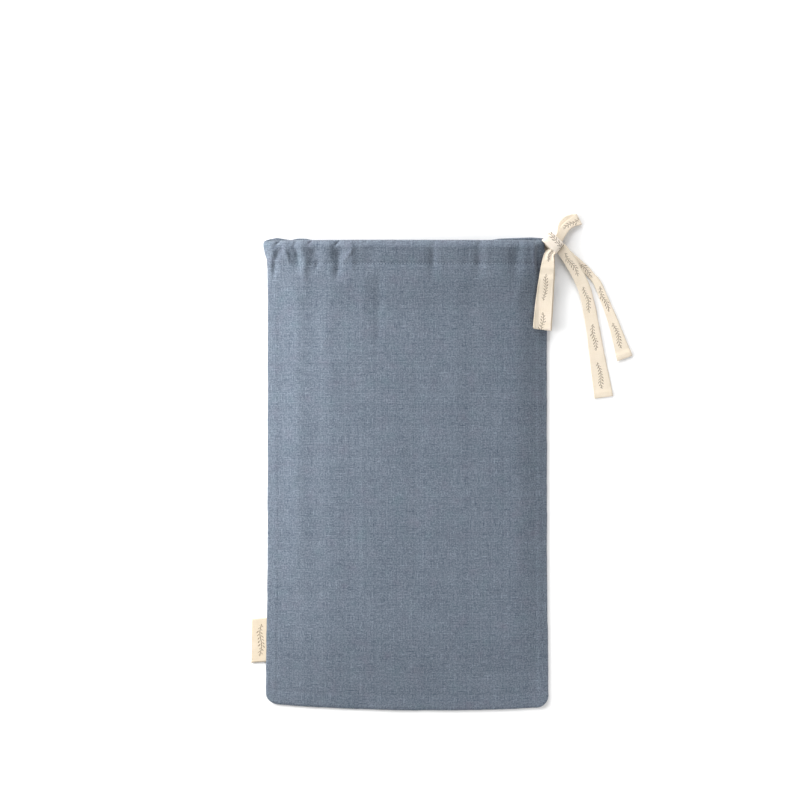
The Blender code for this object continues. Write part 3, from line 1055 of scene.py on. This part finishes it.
    def front_height(self, x: Array, along: Array, fine: bool = True) -> Array:
        """The middle of the front panel's outer layer.

        Args:
            x: The place across.
            along: The place along.
            fine: Whether the small creases are there too.

        Returns:
            Z for each point.
        """
        x, along = (np.atleast_1d(np.asarray(v, float)) for v in (x, along))
        left, right = column(FRONT_SIDES, along, "left"), column(BACK_SIDES, along, "right")
        from_left, from_right = np.maximum(x - left, 0.0), np.maximum(right - x, 0.0)
        from_seam = np.clip((from_left - self.flat_edge) / self.left_rise, 0.0, 1.0)
        rise = np.minimum(1 - (1 - from_seam) ** 2, self.rising(from_right, self.right_rise))
        rise *= 1 - self.right_slack * eased(0.0, 0.148, x)
        rise *= self.rising(along - self.bottom, self.bottom_rise)
        near_edge = np.minimum(from_left, from_right)
        start = self.seam_start - self.inner_start * np.clip(near_edge / 0.03, 0.0, 1.0)
        share = eased(start, self.casing_start, along)
        flat = self.front_flat + (self.front_casing - self.front_flat) * share
        evened = np.where(x < 0, x * -self.folds_half / left, x)
        inner = np.clip(self.rising(near_edge, self.corner) * 1.5, 0.0, 1.0)
        folds = self.fold_height(GATHERS + DRAPES, evened, along)
        if fine:
            folds += self.crease_height(x, along) + self.pleats(x, along) + self.crumple(x, along)
        z = flat + column(FULLNESS, along, "value") * rise + folds * inner
        z += self.casing_puff(along) * inner - self.curl_drop(from_left, along)
        tucked = self.tucked(x, along)
        z -= tucked * (0.74 * (z - flat) + 0.0015 * eased(0.1390, 0.1440, x))
        from_bottom = np.maximum(along - self.bottom, 0.0)
        open_end = 1 - eased(0.200, 0.212, along) * eased(0.0, 0.05, x)
        return z + self.seam_band(np.minimum(near_edge, from_bottom)) * open_end

    def back_height(self, x: Array, along: Array) -> Array:
        """The middle of the back panel's outer layer."""
        left, right = column(BACK_SIDES, along, "left"), column(BACK_SIDES, along, "right")
        from_left, from_right = np.maximum(x - left, 0.0), np.maximum(right - x, 0.0)
        from_edge = np.minimum(np.minimum(from_left, from_right), np.maximum(along - self.bottom, 0.0))
        roll = self.back_roll * np.clip(1 - from_edge / self.seam_roll, 0.0, 1.0) ** 2
        flat = self.cloth / 2 + CLEARANCE
        return flat + roll + self.curl_drop(from_left, along)

    def layer_depth(self, along: Array) -> Array:
        """From the outer layer of a hem to its inner layer."""
        deepen = eased(self.stitch_line, self.casing_start, along)
        return self.hem_depth + (self.casing_depth - self.hem_depth) * deepen


@dataclass
class Panel:
    """What both panels share: the rows of their grid, from the bottom seam to the hem's edge."""

    shape: BagShape
    columns: int = 186
    body_step: float = 0.0028
    casing_step: float = 0.0012
    fold_steps: int = 10

    def rows(self) -> Array:
        """Along, layer and cloth length for each row, where layer 0 is outer and 1 inner."""
        s = self.shape
        corner = s.bottom + s.corner * (1 - np.cos(np.linspace(0, pi / 2, 9)))
        body = np.arange(corner[-1] + self.body_step, s.seam_start, self.body_step)
        radius = s.casing_depth / 2
        start = s.top - radius
        casing = np.arange(s.seam_start, start, self.casing_step)
        outer = np.concatenate([corner, body, casing])
        turn = np.linspace(0, pi, self.fold_steps + 1)
        inner = np.arange(start, s.hem_edge, -self.casing_step * 1.6)[1:]
        along = np.concatenate([outer, start + radius * np.sin(turn), inner, [s.hem_edge]])
        layer = np.concatenate([0 * outer, (1 - np.cos(turn)) / 2, 0 * inner + 1, [1.0]])
        depth = layer * s.casing_depth
        step = np.hypot(np.diff(along), np.diff(depth))
        cloth = np.concatenate([[along[0]], along[0] + np.cumsum(step)])
        return np.stack([along, layer, cloth], axis=1)


@dataclass
class FrontPanel(Panel):
    """The front, gathered on the tape and full over the pocket."""

    def build(self, finish: Linen) -> bpy.types.Object:
        """Makes and dresses the front.

        Args:
            finish: Its linen.

        Returns:
            The piece.
        """
        s, rows = self.shape, self.rows()

        def place(across: Array, up: Array) -> tuple[Array, Array]:
            """The points and weave of the grid."""
            along, layer, cloth = rows[row_at(up, len(rows))].T
            x = s.across(FRONT_SIDES, across - 0.2 * np.sin(2 * pi * across) / (2 * pi), along)
            left = column(FRONT_SIDES, along, "left")
            x += s.hem_inset * np.maximum(0.0, 1 - (x - left) / s.turned_in) * layer
            z = s.front_height(np.maximum(x, left + s.curl * layer), along)
            points = np.stack([x, s.bowed(x, along), z - s.layer_depth(along) * layer], axis=1)
            return points, np.stack([x, cloth], axis=1)

        piece = Sheet("front_cloth", self.columns, len(rows) - 1, s.cloth).build(place)
        return dress(piece, finish.material("front_linen"), Slot.LINEN, "front_panel")


@dataclass
class BackPanel(Panel):
    """The back, flat on the surface, whose folded edge shows over the front's at its ends."""

    def build(self, finish: Linen) -> bpy.types.Object:
        """Makes and dresses the back.

        Args:
            finish: Its linen.

        Returns:
            The piece.
        """
        s, rows = self.shape, self.rows()

        def place(across: Array, up: Array) -> tuple[Array, Array]:
            """The points and weave of the grid."""
            along, layer, cloth = rows[row_at(up, len(rows))].T
            left, right = column(BACK_SIDES, along, "left"), column(BACK_SIDES, along, "right")
            x = s.across(BACK_SIDES, across, along)
            x += s.hem_inset * np.maximum(0.0, 1 - (x - left) / s.turned_in) * layer
            x -= (right - s.slit_edge) * np.maximum(0.0, 1 - (right - x) / s.turned_in) * layer
            z = s.back_height(np.maximum(x, left + s.curl * layer), along)
            z += ripple(x, 31, 0.03) * 0.0002 * layer
            top = column(BACK_TOP, x, "value")
            lifted = (top - s.top) * eased(s.casing_start, s.top - 0.004, along)
            points = np.stack([x, s.bowed(x, along) + lifted, z + s.layer_depth(along) * layer], axis=1)
            return points, np.stack([x + 0.4, cloth], axis=1)

        piece = Sheet("back_cloth", self.columns, len(rows) - 1, s.cloth).build(place)
        return dress(piece, finish.material("back_linen"), Slot.LINEN, "back_panel")


@dataclass
class CasingStitches:
    """The line of stitching that closes the front casing."""

    shape: BagShape
    pitch: float = 0.0031
    inset: float = 0.0016
    half_length: float = 0.00100
    half_width: float = 0.00030
    half_height: float = 0.00024

    def build(self, finish: Thread) -> bpy.types.Object:
        """Makes and dresses the stitching.

        Args:
            finish: Its thread.

        Returns:
            The piece.
        """
        s = self.shape
        line = np.array([s.stitch_line])
        left = column(FRONT_SIDES, line, "left")[0] + self.inset
        right = s.end_tuck - self.inset
        x = np.arange(np.ceil(left / self.pitch) * self.pitch, right, self.pitch)
        y = np.full_like(x, s.stitch_line) + ripple(x, 8, 0.05) * 0.0003
        ends = [s.front_height(x + side * self.half_length, y) for side in (-1, 1)]
        height = (ends[0] + ends[1]) / 2 + s.cloth / 2 + 0.00004
        places = [Vector(p) for p in zip(x, s.bowed(x, y), height)]
        rise = (ends[1] - ends[0]) / (2 * self.half_length)
        ways = [Vector((1.0, 0.0, float(r))) for r in rise]
        size = Vector((self.half_length, self.half_width, self.half_height))
        piece = stitches("casing_stitches", places, ways, size)
        return dress(piece, finish.material("blue_thread"), Slot.LINEN)


# ---------------------------------------------------------------------------------------------
# The tape


KNOT_CENTRE = Vector((0.1540, 0.2475, 0.0087))
KNOT_TURN = radians(-38.5)

LEFT_LOOP = table(
    Station,
    (0.1540, 0.2391, 0.0022, 0.0080, -38),
    (0.1510, 0.2350, 0.0020, 0.0104, -20),
    (0.1498, 0.2275, 0.0017, 0.0128, -6),
    (0.1487, 0.2130, 0.0014, 0.0150, -5),
    (0.1468, 0.1930, 0.0013, 0.0172, -5),
    (0.1452, 0.1740, 0.0013, 0.0184, -6),
    (0.1438, 0.1580, 0.0013, 0.0190, -7),
    (0.1436, 0.1564, 0.0013, 0.0190, -7),
    (0.1434, 0.1557, 0.0017, 0.0190, -7),
    (0.1431, 0.1552, 0.0025, 0.0190, -7.5),
    (0.1428, 0.1557, 0.0033, 0.0190, -7.5),
    (0.1426, 0.1564, 0.0037, 0.0190, -7.5),
    (0.1427, 0.1582, 0.0037, 0.0190, -7),
    (0.1440, 0.1745, 0.0034, 0.0184, -6),
    (0.1456, 0.1935, 0.0034, 0.0172, -5),
    (0.1474, 0.2135, 0.0035, 0.0150, -5),
    (0.1489, 0.2280, 0.0037, 0.0128, -6),
    (0.1504, 0.2352, 0.0040, 0.0096, -20),
    (0.1541, 0.2392, 0.0040, 0.0076, -38),
)
UPPER_LOOP = table(
    Station,
    (0.1602, 0.2509, 0.0030, 0.0080, -38),
    (0.1624, 0.2565, 0.0022, 0.0072, -28),
    (0.1645, 0.2640, 0.0012, 0.0104, -42),
    (0.1700, 0.2694, 0.0009, 0.0136, -60),
    (0.1790, 0.2723, 0.0009, 0.0134, -62),
    (0.1818, 0.2727, 0.0012, 0.0130, -62),
    (0.1826, 0.2728, 0.0019, 0.0128, -62),
    (0.1820, 0.2726, 0.0026, 0.0126, -62),
    (0.1795, 0.2712, 0.0032, 0.0112, -62),
    (0.1728, 0.2678, 0.0036, 0.0096, -54),
    (0.1672, 0.2622, 0.0044, 0.0094, -38),
    (0.1632, 0.2558, 0.0056, 0.0094, -34),
    (0.1603, 0.2510, 0.0062, 0.0094, -38),
)
LONG_TAIL = table(
    Station,
    (0.1628, 0.2411, 0.0068, 0.0122, 51.5),
    (0.1662, 0.2370, 0.0064, 0.0126, 46),
    (0.1752, 0.2238, 0.0048, 0.0132, 38),
    (0.1824, 0.2112, 0.0036, 0.0134, 31),
    (0.1880, 0.1985, 0.0028, 0.0132, 20),
    (0.1930, 0.1794, 0.0018, 0.0139, 14),
    (0.1979, 0.1522, 0.0010, 0.0146, 10),
    (0.2022, 0.1250, 0.0008, 0.0166, 9),
    (0.2066, 0.0985, 0.0008, 0.0188, 8.5),
    (0.2088, 0.0840, 0.0008, 0.0198, 8),
)
SHORT_TAIL = table(
    Station,
    (0.1628, 0.2411, 0.0036, 0.0110, 51.5),
    (0.1682, 0.2358, 0.0031, 0.0112, 47),
    (0.1816, 0.2254, 0.0018, 0.0098, 42),
    (0.1910, 0.2180, 0.0011, 0.0078, 41),
    (0.1967, 0.2119, 0.0009, 0.0072, 40),
    (0.2014, 0.2060, 0.0009, 0.0080, 37),
    (0.2075, 0.1925, 0.0008, 0.0086, 27),
    (0.2129, 0.1794, 0.0008, 0.0092, 22),
    (0.2180, 0.1658, 0.0008, 0.0108, 20),
    (0.2227, 0.1522, 0.0008, 0.0124, 19),
    (0.2269, 0.1387, 0.0008, 0.0146, 20),
    (0.2311, 0.1253, 0.0008, 0.0172, 21.5),
)
FRONT_EXIT = table(
    Station,
    (0.1435, 0.2375, 0.0074, 0.0150, 92),
    (0.1462, 0.2405, 0.0070, 0.0100, 115),
    (0.1495, 0.2445, 0.0066, 0.0062, 141.5),
)
BACK_EXIT = table(
    Station,
    (0.1435, 0.2375, 0.0024, 0.0130, 94),
    (0.1462, 0.2402, 0.0030, 0.0090, 114),
    (0.1495, 0.2445, 0.0042, 0.0062, 141.5),
)

TAPE_WIDTH = 0.018
TAPE_CLOTH = 0.00065
HEM_STITCH = Vector((0.0006, 0.00013, 0.00012))  # half its length, width and height

Bed = Callable[[Array, Array], Array]


def surface(x: Array, y: Array) -> Array:
    """The surface that the bag lies on."""
    return np.zeros_like(x)


@dataclass
class Ribbon:
    """A length of tape through its stations, pleated where it is narrower than it was woven."""

    name: str
    node: str
    stations: Sequence[Station]
    bed: Bed
    rests_on: str | None = None
    pleats: float = 1.5  # waves across the tape where it is gathered
    pleat_room: float = 0.0011
    woven_flat: float = 0.0165  # the width from which the tape lies without a pleat
    lengthwise: bool = False  # whether the spare width is folded under along one edge
    turn_depth: float = 0.00078  # from the cloth that shows to the cloth folded under it
    hemmed: bool = False
    hem: float = 0.0052
    columns: int = 26
    steps: int = 8
    print_start: float = 0.0
    waver_seed: int = 40

    def build(self, finish: CottonTape) -> bpy.types.Object:
        """Makes and dresses the tape.

        Args:
            finish: Its cotton.

        Returns:
            The piece.
        """
        line = smooth_line(self.stations, self.steps)
        layers = np.zeros(len(line))
        if self.hemmed:
            line, layers = self.with_hem(line)
        steps = np.linalg.norm(np.diff(line[:, :3], axis=0), axis=1)
        length = np.concatenate([[0.0], np.cumsum(steps)])

        def place(across: Array, up: Array) -> tuple[Array, Array]:
            """The points and weave of the grid."""
            row = row_at(up, len(line))
            x, y, z, width, turn = line[row].T
            side = across - 0.5
            wide, under = width * side, np.zeros_like(side)
            if self.lengthwise:
                wide, under = self.turned_under(side, width)
                z = z + self.turn_depth * eased(0.0, 0.0015, TAPE_WIDTH - width)
            reach = wide + ripple(length[row] + side, self.waver_seed, 0.03) * 0.00018
            px, py = beside(x, y, turn, reach)
            spare = np.sqrt(np.clip(self.woven_flat / width - 1, 0.0, 2.0)) * (not self.lengthwise)
            rise = np.minimum(spare * width / (pi * self.pleats), self.pleat_room)
            from_knot = np.hypot(x - KNOT_CENTRE.x, y - KNOT_CENTRE.y)
            wave = (np.cos(2 * pi * self.pleats * side + 0.6) + eased(0.006, 0.016, from_knot)) * rise
            cup = ripple(length[row], self.waver_seed + 1, 0.045) * 0.00022
            pz = z + self.bed(px, py) + wave + cup * (1 - layers[row]) - under
            points = np.stack([px, py, np.maximum(pz, TAPE_CLOTH / 2 + CLEARANCE)], axis=1)
            shift = np.clip(TAPE_WIDTH - width, 0.0, None) / 2 * self.lengthwise
            return points, np.stack([TAPE_WIDTH * side + shift, length[row] + self.print_start], axis=1)

        piece = Sheet(self.name, self.columns, len(line) - 1, TAPE_CLOTH).build(place)
        return dress(piece, finish.material(self.name + "_cotton"), Slot.TAPE, self.node)

    def turned_under(self, side: Array, width: Array) -> tuple[Array, Array]:
        """Folds the spare width of the tape under itself along its right edge.

        Args:
            side: The place across the tape, from -0.5 to 0.5.
            width: How wide it shows.

        Returns:
            The place across that shows, and how far down it lies.
        """
        turns = (side + 0.5) * np.maximum(TAPE_WIDTH, width) / width
        layer = np.floor(turns + 1e-9)
        part = turns - layer
        wide = np.where(layer % 2 == 0, part, 1 - part) * width
        under = layer + eased(0.93, 1.0, part) / 2 - (layer > 0) * (1 - eased(0.0, 0.07, part)) / 2
        return wide - width / 2, under * self.turn_depth

    def with_hem(self, line: Array) -> tuple[Array, Array]:
        """Turns the end of the tape under itself for its hem.

        Args:
            line: The rows of the tape, whose last is its folded end.

        Returns:
            The rows with those of the hem, and each row's layer, 1 underneath.
        """
        fold = TAPE_CLOTH * 0.62
        end = line[-1].copy()
        back = line[-1, :2] - line[-2, :2]
        back /= -np.linalg.norm(back)
        from_end = np.linalg.norm(line[:, :2] - end[:2], axis=1)
        lift = 1 - eased(self.hem * 0.75, self.hem * 1.6, from_end)
        upper = line.copy()
        upper[:, 2] += lift * 2 * fold
        rows, layers = [], []
        for step in np.linspace(0, pi, 7)[1:]:
            row = end.copy()
            row[:2] -= back * fold * sin(step)
            row[2] = end[2] + fold * (1 + cos(step))
            rows.append(row)
            layers.append((1 - cos(step)) / 2)
        for distance in np.linspace(0, self.hem, 7)[1:]:
            row = end.copy()
            row[:2] += back * distance
            row[3] -= 0.0006
            rows.append(row)
            layers.append(1.0)
        return np.vstack([upper, rows]), np.concatenate([np.zeros(len(line)), layers])

    def hem_stitches(self, finish: Thread) -> bpy.types.Object:
        """Makes and dresses the row of stitching across the hem.

        Args:
            finish: Its thread.

        Returns:
            The piece.
        """
        end, before = np.array(self.stations[-1]), np.array(self.stations[-2])
        back = (before - end)[:2] / np.linalg.norm((before - end)[:2])
        turn = radians(end[4])
        way = Vector((cos(turn), sin(turn), 0.0))
        middle = Vector((*(end[:2] + back * self.hem * 0.86), end[2] + TAPE_CLOTH * 2.2))
        reach = np.arange(-0.42, 0.43, 0.1) * end[3]
        places = [middle + way * float(r) for r in reach]
        piece = stitches(self.name + "_stitches", places, [way] * len(places), HEM_STITCH)
        return dress(piece, finish.material(self.name + "_thread"), Slot.TAPE)


@dataclass
class Drawstring:
    """The tape through both casings, round their left end and out to the knot."""

    shape: BagShape
    middle: float = 0.2365
    turn_inset: float = 0.0118
    turn_draw: float = 0.0022  # how much lower its edge lies there
    turn_reach: float = 0.0028
    columns: int = 16
    front_rows: int = 150
    turn_rows: int = 14
    back_rows: int = 90
    clear: float = 0.0015  # how near to it a crease of the casing counts

    def lowest(self, x: Array, y: Array) -> Array:
        """The lowest height of the front panel close to each place.

        Args:
            x: The place across.
            y: The place along.

        Returns:
            Z for each place.
        """
        steps = ((0, 0), (-1, 0), (1, 0), (0, -1), (0, 1))
        near = [self.shape.front_height(x + dx * self.clear, y + dy * self.clear) for dx, dy in steps]
        return np.min(near, axis=0)

    def build(self, finish: CottonTape) -> bpy.types.Object:
        """Makes and dresses the drawstring.

        Args:
            finish: Its cotton.

        Returns:
            The piece.
        """
        s = self.shape
        to_string = s.layer / 2 + s.casing_room + s.tape / 2
        low = s.back_flat + to_string
        exits = [smooth_line(e, 8) for e in (FRONT_EXIT, BACK_EXIT)]
        front = np.linspace(0.985, 0.045, self.front_rows)
        turn = np.linspace(0, pi, self.turn_rows + 2)[1:-1]
        back = np.linspace(0.045, 0.96, self.back_rows)
        first, last = (np.arange(len(e)) for e in exits)
        runs = (first[::-1], front, turn, back, last)
        kinds = np.repeat(np.arange(len(runs)), [len(run) for run in runs])
        values = np.concatenate(runs)

        def place(across: Array, up: Array) -> tuple[Array, Array]:
            """The points and weave of the grid."""
            row = row_at(up, len(kinds))
            kind, value, side = kinds[row], values[row], across - 0.5
            y = self.middle + side * TAPE_WIDTH
            part = np.where(kind == 2, 0.0, np.where((kind == 1) | (kind == 3), value, 1.0))
            y -= self.turn_draw * (1 - eased(0.0, 0.14, part))
            centre = column(FRONT_SIDES, y, "left") + self.turn_inset
            x = np.zeros_like(y)
            z = np.zeros_like(y)
            for number, sides in ((1, FRONT_SIDES), (3, BACK_SIDES)):
                own = kind == number
                x[own] = np.maximum(s.across(sides, value[own], y[own]), centre[own] + 0.0004)
            own = kind == 1
            z[own] = self.lowest(x[own], y[own]) - to_string
            z[kind == 3] = low
            own = kind == 2
            high = self.lowest(centre[own], y[own]) - to_string
            x[own] = centre[own] - self.turn_reach * np.sin(value[own])
            z[own] = (high + low) / 2 + (high - low) / 2 * np.cos(value[own])
            for number, path in ((0, exits[0]), (4, exits[1])):
                own = kind == number
                px, py, pz, width, turned = path[value[own].astype(int)].T
                x[own], y[own] = beside(px, py, turned, width * side[own])
                fold = np.clip(TAPE_WIDTH / width - 1, 0.0, 1.5)
                z[own] = pz + np.cos(2 * pi * 1.5 * side[own]) * fold * 0.0007
            return np.stack([x, y, z], axis=1), np.stack([side * TAPE_WIDTH, x + 0.01 * kind], axis=1)

        piece = Sheet("drawstring_tape", self.columns, len(kinds) - 1, TAPE_CLOTH).build(place)
        return dress(piece, finish.material("drawstring_cotton"), Slot.TAPE, "drawstring")


@dataclass
class Knot:
    """The tape wound once round the crossing of the bow, over the bundle of its loops."""

    half_long: float = 0.0101
    half_high: float = 0.0050
    half_wide: float = 0.0070
    squareness: float = 3.6
    lean: float = -0.0010
    tilt: float = 0.07  # how much its left end stands higher than its right
    wound: float = 0.052  # the length of tape in the band
    core_long: float = 0.0078
    core_wide: float = 0.0079
    core_high: float = 0.0037
    columns: int = 84
    rows: int = 22

    def axes(self) -> tuple[Vector, Vector]:
        """The bundle's direction, up to the right, and the band's, down to the right."""
        band = Vector((cos(KNOT_TURN), sin(KNOT_TURN), 0.0))
        return Vector((-band.y, band.x, 0.0)), band

    def ring(self, angle: Array, grow: float) -> tuple[Array, Array]:
        """A rounded rectangle round the bundle.

        Args:
            angle: The way round.
            grow: What is added to its size.

        Returns:
            Along the band and up, for each angle.
        """
        c, s = np.cos(angle), np.sin(angle)
        size = (np.abs(c) ** self.squareness + np.abs(s) ** self.squareness) ** (-1 / self.squareness)
        return c * size * (self.half_long + grow), s * size * (self.half_high + grow)

    def build(self, finish: CottonTape) -> bpy.types.Object:
        """Makes and dresses the wound band.

        Args:
            finish: Its cotton.

        Returns:
            The piece.
        """
        bundle, band = (np.array(v) for v in self.axes())
        centre = np.array(KNOT_CENTRE)

        def place(across: Array, up: Array) -> tuple[Array, Array]:
            """The points and weave of the grid."""
            angle, side = 2 * pi * across, 2 * up - 1
            ruck = 0.00035 * np.cos(2.2 * pi * side + 0.9 * np.sin(angle)) * np.sin(angle * 0.5) ** 2
            edge = -0.0005 * np.abs(side) ** 6
            long, high = self.ring(angle, 0.0)
            size = 1 + (ruck + edge) / np.hypot(long, high)
            narrow = 1 - 0.10 * eased(0.3, 1.0, -np.sin(angle)) + 0.05 * np.cos(angle)
            along = side * self.half_wide * narrow + self.lean * np.cos(angle)
            points = centre + np.outer(along, bundle) + np.outer(long * size, band)
            points[:, 2] += high * size - self.tilt * long
            return points, np.stack([side * TAPE_WIDTH / 2 * 0.8, across * self.wound], axis=1)

        piece = Sheet("knot_band", self.columns, self.rows, TAPE_CLOTH, closed=True).build(place)
        return dress(piece, finish.material("knot_cotton_painted_light"), Slot.TAPE, "bow_knot")

    def core(self, finish: CottonTape) -> bpy.types.Object:
        """Makes and dresses the pleated bundle inside the band.

        Args:
            finish: Its cotton.

        Returns:
            The piece.
        """
        bundle, band = (np.array(v) for v in self.axes())
        bm = bmesh.new()
        bmesh.ops.create_uvsphere(bm, u_segments=48, v_segments=20, radius=1.0)
        for vert in bm.verts:
            angle, out = atan2(vert.co.y, vert.co.x), (1 - vert.co.z**2) ** 0.5
            body = max(out, 0.0) ** 0.55 * (1 + 0.09 * cos(5 * angle + 2 * vert.co.z))
            long, high = cos(angle) * body * self.core_long, sin(angle) * body * self.core_high
            point = np.array(KNOT_CENTRE) + bundle * vert.co.z * self.core_wide + band * long
            vert.co = Vector(point) + Vector((0.0, 0.0, high))
        uv_map = bm.loops.layers.uv.new(WEAVE_MAP)
        for face in bm.faces:
            for loop in face.loops:
                loop[uv_map].uv = (loop.vert.co.x, loop.vert.co.y + 0.011)
        bmesh.ops.recalc_face_normals(bm, faces=bm.faces)
        piece = new_object("knot_core", poured(bm, bpy.data.meshes.new("knot_core")))
        return dress(piece, finish.material("core_cotton"), Slot.TAPE)


@dataclass
class SideLabel:
    """The folded label sewn into the left side seam near the bottom."""

    out: float = 0.0158
    top: float = -0.1512
    length: float = 0.0468
    skew: float = 0.0012
    inside: float = 0.0030  # how far it runs into the seam
    half_depth: float = 0.00042
    columns: int = 40
    rows: int = 30
    cloth: float = 0.00042

    def build(self, finish: CottonTape) -> bpy.types.Object:
        """Makes and dresses the label.

        Args:
            finish: Its cotton.

        Returns:
            The piece.
        """
        span = self.out + self.inside

        def place(across: Array, up: Array) -> tuple[Array, Array]:
            """The points and weave of the grid: out on top, round the fold, back beneath."""
            turn = np.clip((across - 0.46) / 0.08, 0.0, 1.0) * pi
            run = np.where(across < 0.5, across / 0.46, (1 - across) / 0.46)
            out = np.clip(run, 0.0, 1.0) * (span - self.half_depth) + self.half_depth * np.sin(turn)
            reach = out - self.inside
            y = self.top - self.length * up - self.skew * reach / self.out
            seam = column(FRONT_SIDES, y, "left")
            wave = ripple(up, 51, 0.9) * 0.00025 * np.clip(reach / self.out, 0.0, 1.0)
            z = 0.00118 + self.half_depth * np.cos(turn) + wave
            x = seam - reach + ripple(y, 52, 0.03) * 0.00012 * np.clip(reach / self.out, 0.0, 1.0)
            weave = np.stack([(0.5 - run) * self.out * 0.96, up * self.length], axis=1)
            return np.stack([x, y, np.maximum(z, self.cloth / 2 + CLEARANCE)], axis=1), weave

        piece = Sheet("label_cloth", self.columns, self.rows, self.cloth).build(place)
        return dress(piece, finish.material("label_cotton"), Slot.LABEL, "side_label")


# ---------------------------------------------------------------------------------------------
# The studio


class Lamp(NamedTuple):
    """A soft square light: its place, the length of its side and its watts."""

    name: str
    place: tuple[float, float, float]
    size: float
    power: float


@dataclass
class Studio:
    """A pale floor, soft light from the upper left and a camera straight above."""

    eye: Vector
    view_width: float = 0.852
    sensor: float = 36.0
    floor_half: float = 6.0
    floor_colour: Colour = (0.97, 0.97, 0.97)
    floor_speck: Colour = (0.90, 0.90, 0.90)
    surroundings: float = 0.33
    lamps: tuple[Lamp, ...] = (
        Lamp("key", (-1.60, 0.90, 0.95), 1.6, 21.0),
        Lamp("top", (-0.25, 1.70, 0.72), 1.2, 28.0),
        Lamp("near", (-0.66, 0.14, 0.32), 0.40, 6.4),
        Lamp("fill", (0.75, -0.60, 0.55), 0.70, 5.2),
    )

    def floor(self) -> None:
        """Makes the floor."""
        bm = bmesh.new()
        bmesh.ops.create_grid(bm, x_segments=1, y_segments=1, size=self.floor_half)
        made = new_object("floor", poured(bm, bpy.data.meshes.new("floor")))
        nodes = Nodes("floor_paper")
        place = nodes.add("ShaderNodeTexCoord").outputs["Object"]
        speck = nodes.noise(place, 4.0)
        paper = nodes.mix(speck * 0.1, self.floor_colour, self.floor_speck)
        made.data.materials.append(nodes.finished(paper, 0.9))

    def camera(self) -> None:
        """Makes the camera."""
        data = bpy.data.cameras.new("camera")
        data.sensor_width = self.sensor
        data.lens = self.sensor * self.eye.z / self.view_width
        made = bpy.data.objects.new("camera", data)
        made.location = self.eye
        bpy.context.scene.collection.objects.link(made)
        bpy.context.scene.camera = made

    def hang(self, lamp: Lamp) -> None:
        """Adds a soft square light that points at the bag."""
        data = bpy.data.lights.new(lamp.name, "AREA")
        data.size = lamp.size
        data.energy = lamp.power
        made = bpy.data.objects.new(lamp.name, data)
        made.visible_camera = False
        made.location = lamp.place
        made.rotation_euler = (-made.location).to_track_quat("-Z", "Y").to_euler()
        bpy.context.scene.collection.objects.link(made)

    def world(self, strength: float) -> None:
        """Sets the pale surroundings."""
        made = bpy.data.worlds.new("studio")
        made.use_nodes = True
        back = made.node_tree.nodes["Background"]
        back.inputs["Color"].default_value = (1.0, 1.0, 1.0, 1.0)
        back.inputs["Strength"].default_value = strength
        bpy.context.scene.world = made

    def build(self) -> None:
        """Makes the whole studio."""
        self.floor()
        self.camera()
        for lamp in self.lamps:
            self.hang(lamp)
        self.world(self.surroundings)
        bpy.context.scene.view_settings.view_transform = "Standard"
        LOG.info("studio: floor, camera and %d lights", len(self.lamps))


def main() -> None:
    """Builds the bag piece by piece, then its studio."""
    shape = BagShape()
    linen_thread = Thread(light=(0.300, 0.345, 0.400), dark=(0.170, 0.205, 0.255))
    cream_thread = Thread(light=(0.930, 0.850, 0.730), dark=(0.780, 0.650, 0.480))
    tape = CottonTape()

    def over_the_front(x: Array, y: Array) -> Array:
        """The top of the front, carried on past its right edge and down to the knot."""
        along = np.minimum(y, 0.219)
        inside = np.minimum(x, column(FRONT_SIDES, along, "right") - 0.009)
        down = eased(0.219, 0.236, y)
        height = shape.front_height(inside, along, fine=False) + shape.cloth / 2
        return height * (1 - down) + KNOT_CENTRE.z * down

    FrontPanel(shape).build(Linen(stitch_line=shape.stitch_line))
    BackPanel(shape, columns=120, body_step=0.0060).build(Linen())
    CasingStitches(shape).build(linen_thread)
    Drawstring(shape).build(tape)
    knot = Knot()
    # painted light: the knot's band is the same tape in a paler copy, so that its top looks as bright as
    # where the light falls on it
    painted_light_tape = CottonTape(light=(0.880, 0.800, 0.715), dark=(0.760, 0.660, 0.520))
    knot.build(replace(painted_light_tape, off_centre=0.0036, along_shift=0.008))
    knot.core(tape)
    folded = {"woven_flat": 0.0128, "pleat_room": 0.0007, "print_start": 0.012}
    Ribbon("loop_left", "bow_loop_left", LEFT_LOOP, over_the_front, "front_panel", **folded).build(tape)
    turned = {"steps": 10, "lengthwise": True, "print_start": 0.020}
    Ribbon("loop_upper", "bow_loop_upper", UPPER_LOOP, surface, **turned).build(tape)
    for tail, node, stations, rests_on, start in (
        ("tail_long_tape", "tail_long", LONG_TAIL, "tail_short", 0.0),
        ("tail_short_tape", "tail_short", SHORT_TAIL, None, 0.030),
    ):
        made = Ribbon(tail, node, stations, surface, rests_on, lengthwise=True, hemmed=True)
        made.print_start = start
        made.build(tape)
        made.hem_stitches(cream_thread)
    label = CottonTape(light=(0.700, 0.610, 0.480), dark=(0.560, 0.450, 0.320), width=0.0158)
    SideLabel().build(replace(label, repeat=0.0468, sprig=0.034, leaf_pitch=0.0036))
    Studio(eye=Vector((-0.008, 0.0804, 2.5))).build()


if __name__ == "__main__":
    main()
